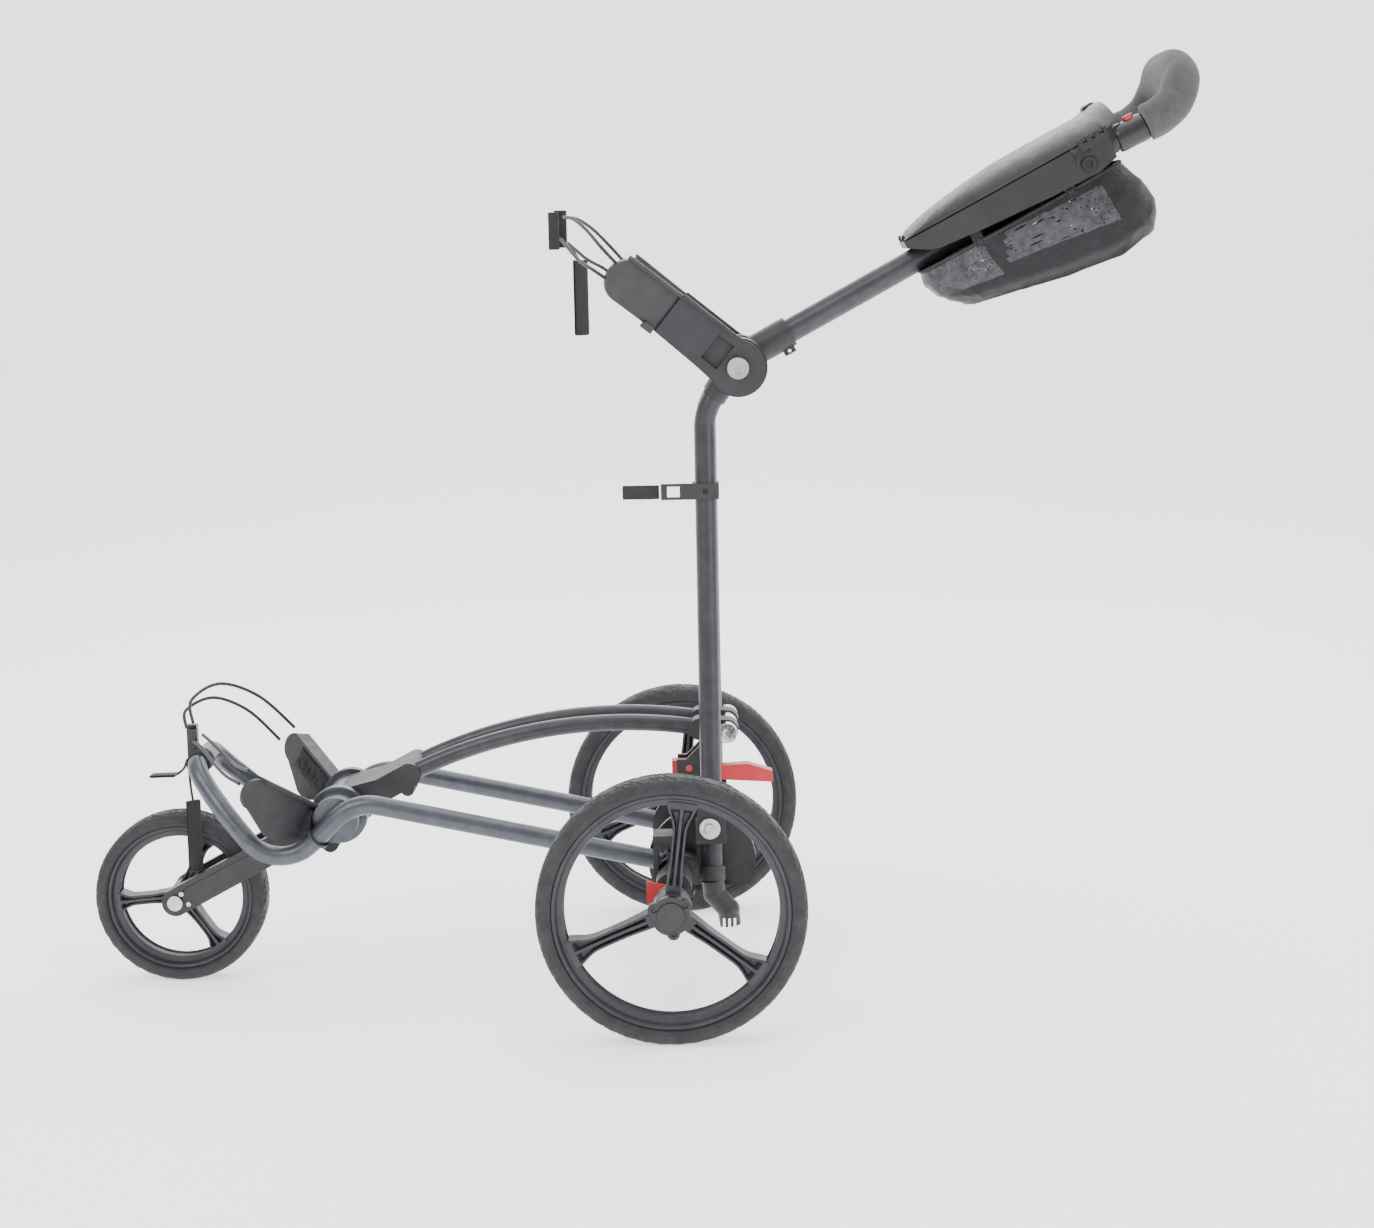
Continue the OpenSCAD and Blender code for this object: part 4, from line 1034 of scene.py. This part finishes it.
def turned_frame(root, turns):
    """Places a local point after turns, given as (axis, degrees), and a move to root."""
    m = Matrix.Identity(4)
    for axis, deg in turns:
        m = m @ Matrix.Rotation(math.radians(deg), 4, axis)

    def place(x, y, z, side=1):
        p = m @ Vector((x, y, z))
        return at(root[0] + p.x, side * (root[1] + p.y), root[2] + p.z)

    return place


WING_ROOT = (-405, 68, 214.5)
wing_at = turned_frame(WING_ROOT, [("Z", 131.6), ("Y", -29.8), ("X", 11)])
ARM_ANGLE, ARM_FOLD, ARM_INSIDE, PANEL_TURN = 141, 98, 61, 26
panel_root = Matrix.Rotation(math.radians(-ARM_ANGLE), 4, "Y") @ Vector((ARM_FOLD, ARM_INSIDE, 0))
panel_at = turned_frame(
    (UPPER_JOINT[0] + panel_root.x, panel_root.y, UPPER_JOINT[1] + panel_root.z),
    [("Y", -ARM_ANGLE), ("Z", PANEL_TURN)],
)


PAD_EDGE, PAD_HIGHEST = 2.4, 4.7
RIB_FIRST, RIB_STEP, RIB_R = 26, 20, 6.6


def ringed_pad(name, place, side, x_range, z_range, ring_z, foot, out, body, node):
    """A rubber pad with a soft edge and three oval ribs, each round a low boss."""
    xs, zs = np.linspace(*x_range, 120), np.linspace(*z_range, 64)
    top, low = [], []
    for x in xs:
        row, under = [], []
        for z in zs:
            edge = min(x - xs[0], xs[-1] - x, z - zs[0], zs[-1] - z) / PAD_EDGE
            rise = 0.4 + 2.5 * math.sqrt(max(0.0, 1 - (1 - min(edge, 1.0)) ** 2))
            for k in range(3):
                d = math.hypot(x - RIB_FIRST - RIB_STEP * k, (z - ring_z) / 1.25)
                rise += 1.7 * math.exp(-(((d - RIB_R) / 1.25) ** 2)) + 0.7 * math.exp(-((d / 3.2) ** 4))
            row.append(place(x, foot + out * min(rise, PAD_HIGHEST), z, side))
            under.append(place(x, foot, z, side))
        top.append(row)
        low.append(under)
    return piece(slab(name, top, low, "rubber", 50), body, "soft_rubber", node)


for side, word in ((-1, "near"), (1, "far")):
    ringed_pad(
        f"lower_pad_{word}", wing_at, side, (16, 80), (-33, -5), -19, 0.2, 1, "base", "lower_pads"
    )
    ringed_pad(
        f"upper_pad_{word}", panel_at, side, (6, 72), (-20, 20), 0, -0.2, -1, "bag_bracket", "upper_pads"
    )
saddle = [(11.1, -40), (13.2, -40), (14, -39.2)]
for k in range(5):
    y = -37.5 + 5 * k
    saddle += [(14, y - 1), (13.2, y - 0.4), (13.2, y + 0.4), (14, y + 1)]
saddle += [(14, -13.8), (13.2, -13), (11.1, -13)]
saddle_centre = (REST_CROSS_X, 0, REST_CROSS_Z)
piece(turned("cross_saddle", saddle, 72, saddle_centre, "rubber"), "base", "soft_rubber", "lower_pads")

# ---- finish of the CAD parts ------------------------------------------------------------------

NODE_LOOKS = {
    "frame": ["hub_drum"],
    "dark_coat": ["fork_arms", "axle_beam", "rear_plate_left", "rear_plate_right"],
    "post": ["post_tube_left", "post_tube_right", "handle_tube", "arch_tube_left", "arch_tube_right"],
    "arm": [
        "upper_arm_left", "upper_arm_right", "lower_wing_left", "lower_wing_right", "joint_housing",
        "arch_front_socket", "arch_rear_eyes", "latch_tower", "brake_pedal", "strap_bracket",
        "post_clamps", "axle_housing_left", "axle_housing_right", "handle_collar", "post_feet",
    ],
    "gloss": ["hub_cap_left", "hub_cap_right", "lower_buckle", "upper_buckle"],
    "shell": ["console_base"],
    "rubber": ["rubber_foot"],
    "steel": [
        "front_axle", "frame_screws", "front_bearings", "bearings_left", "bearings_right", "joint_bolt",
    ],
    "chrome": ["cross_pin_roller"],
    "red": ["fold_lever", "wheel_release_left", "wheel_release_right", "red_button"],
    "cloth": ["mesh_pouch"],
}
BEVELS = {"console_base": 1.0, "rear_plate_left": 0.9, "rear_plate_right": 0.9, "fold_lever": 1.4}


def finish_node(name, material):
    obj = NODES[name]
    obj.data.materials.clear()
    obj.data.materials.append(MATS[material])
    if obj.hide_render:
        return
    weld = obj.modifiers.new("weld", "WELD")
    weld.merge_threshold = 0.00002
    flat = obj.modifiers.new("flats", "DECIMATE")
    flat.decimate_type = "DISSOLVE"
    flat.angle_limit = math.radians(0.6)
    rounded_edges(obj, BEVELS.get(name, 0.6))


for look, names in NODE_LOOKS.items():
    for name in names:
        finish_node(name, look)

# ---- stage ------------------------------------------------------------------------------------


def make_stage():
    """A pale floor that curves up into a wall far behind the cart."""
    profile = [(-9.0, 0.0), (3.2, 0.0)]
    profile += [(3.2 + 2.2 * math.sin(a), 2.2 - 2.2 * math.cos(a)) for a in np.linspace(0.1, math.pi / 2, 14)]
    profile += [(5.4, 9.0)]
    verts = [(x, y, z) for y, z in profile for x in (-11.0, 11.0)]
    faces = [(2 * i, 2 * i + 1, 2 * i + 3, 2 * i + 2) for i in range(len(profile) - 1)]
    mesh = bpy.data.meshes.new("stage_sweep")
    mesh.from_pydata(verts, [], faces)
    mesh.shade_smooth()
    obj = bpy.data.objects.new("stage_sweep", mesh)
    bpy.context.scene.collection.objects.link(obj)
    s = Shader("pale_floor")
    s.colour(s.spread(s.noise(1.5, 2), 0, 1), (0.86, 0.86, 0.87), (0.88, 0.88, 0.89))
    s.set(Roughness=0.85, Specular_IOR_Level=0.1, Emission_Strength=1.1)
    s.set(Emission_Color=(1, 1, 1, 1))
    mesh.materials.append(s.mat)


def area_light(name, where, aim, size, power, tint=(1, 1, 1)):
    data = bpy.data.lights.new(name, "AREA")
    data.shape = "RECTANGLE"
    data.size, data.size_y = size
    data.energy = power
    data.color = tint
    obj = bpy.data.objects.new(name, data)
    bpy.context.scene.collection.objects.link(obj)
    obj.location = where
    obj.rotation_euler = (Vector(aim) - Vector(where)).to_track_quat("-Z", "Y").to_euler()


def make_light():
    world = bpy.data.worlds.new("studio")
    bpy.context.scene.world = world
    world.use_nodes = True
    background = world.node_tree.nodes["Background"]
    background.inputs[0].default_value = (1, 1, 1, 1)
    background.inputs[1].default_value = 0.85
    area_light("key", (-2.2, -2.6, 3.2), (0, 0, 0.4), (2.2, 2.2), 90)
    area_light("top", (0.3, 0.2, 3.6), (0, 0, 0.3), (3.0, 2.4), 80)
    area_light("fill", (2.8, -2.4, 1.6), (0, 0, 0.5), (2.0, 2.0), 40)
    area_light("back", (0.0, 3.0, 2.6), (0, 0, 0.4), (3.0, 1.6), 60)


make_stage()
make_light()
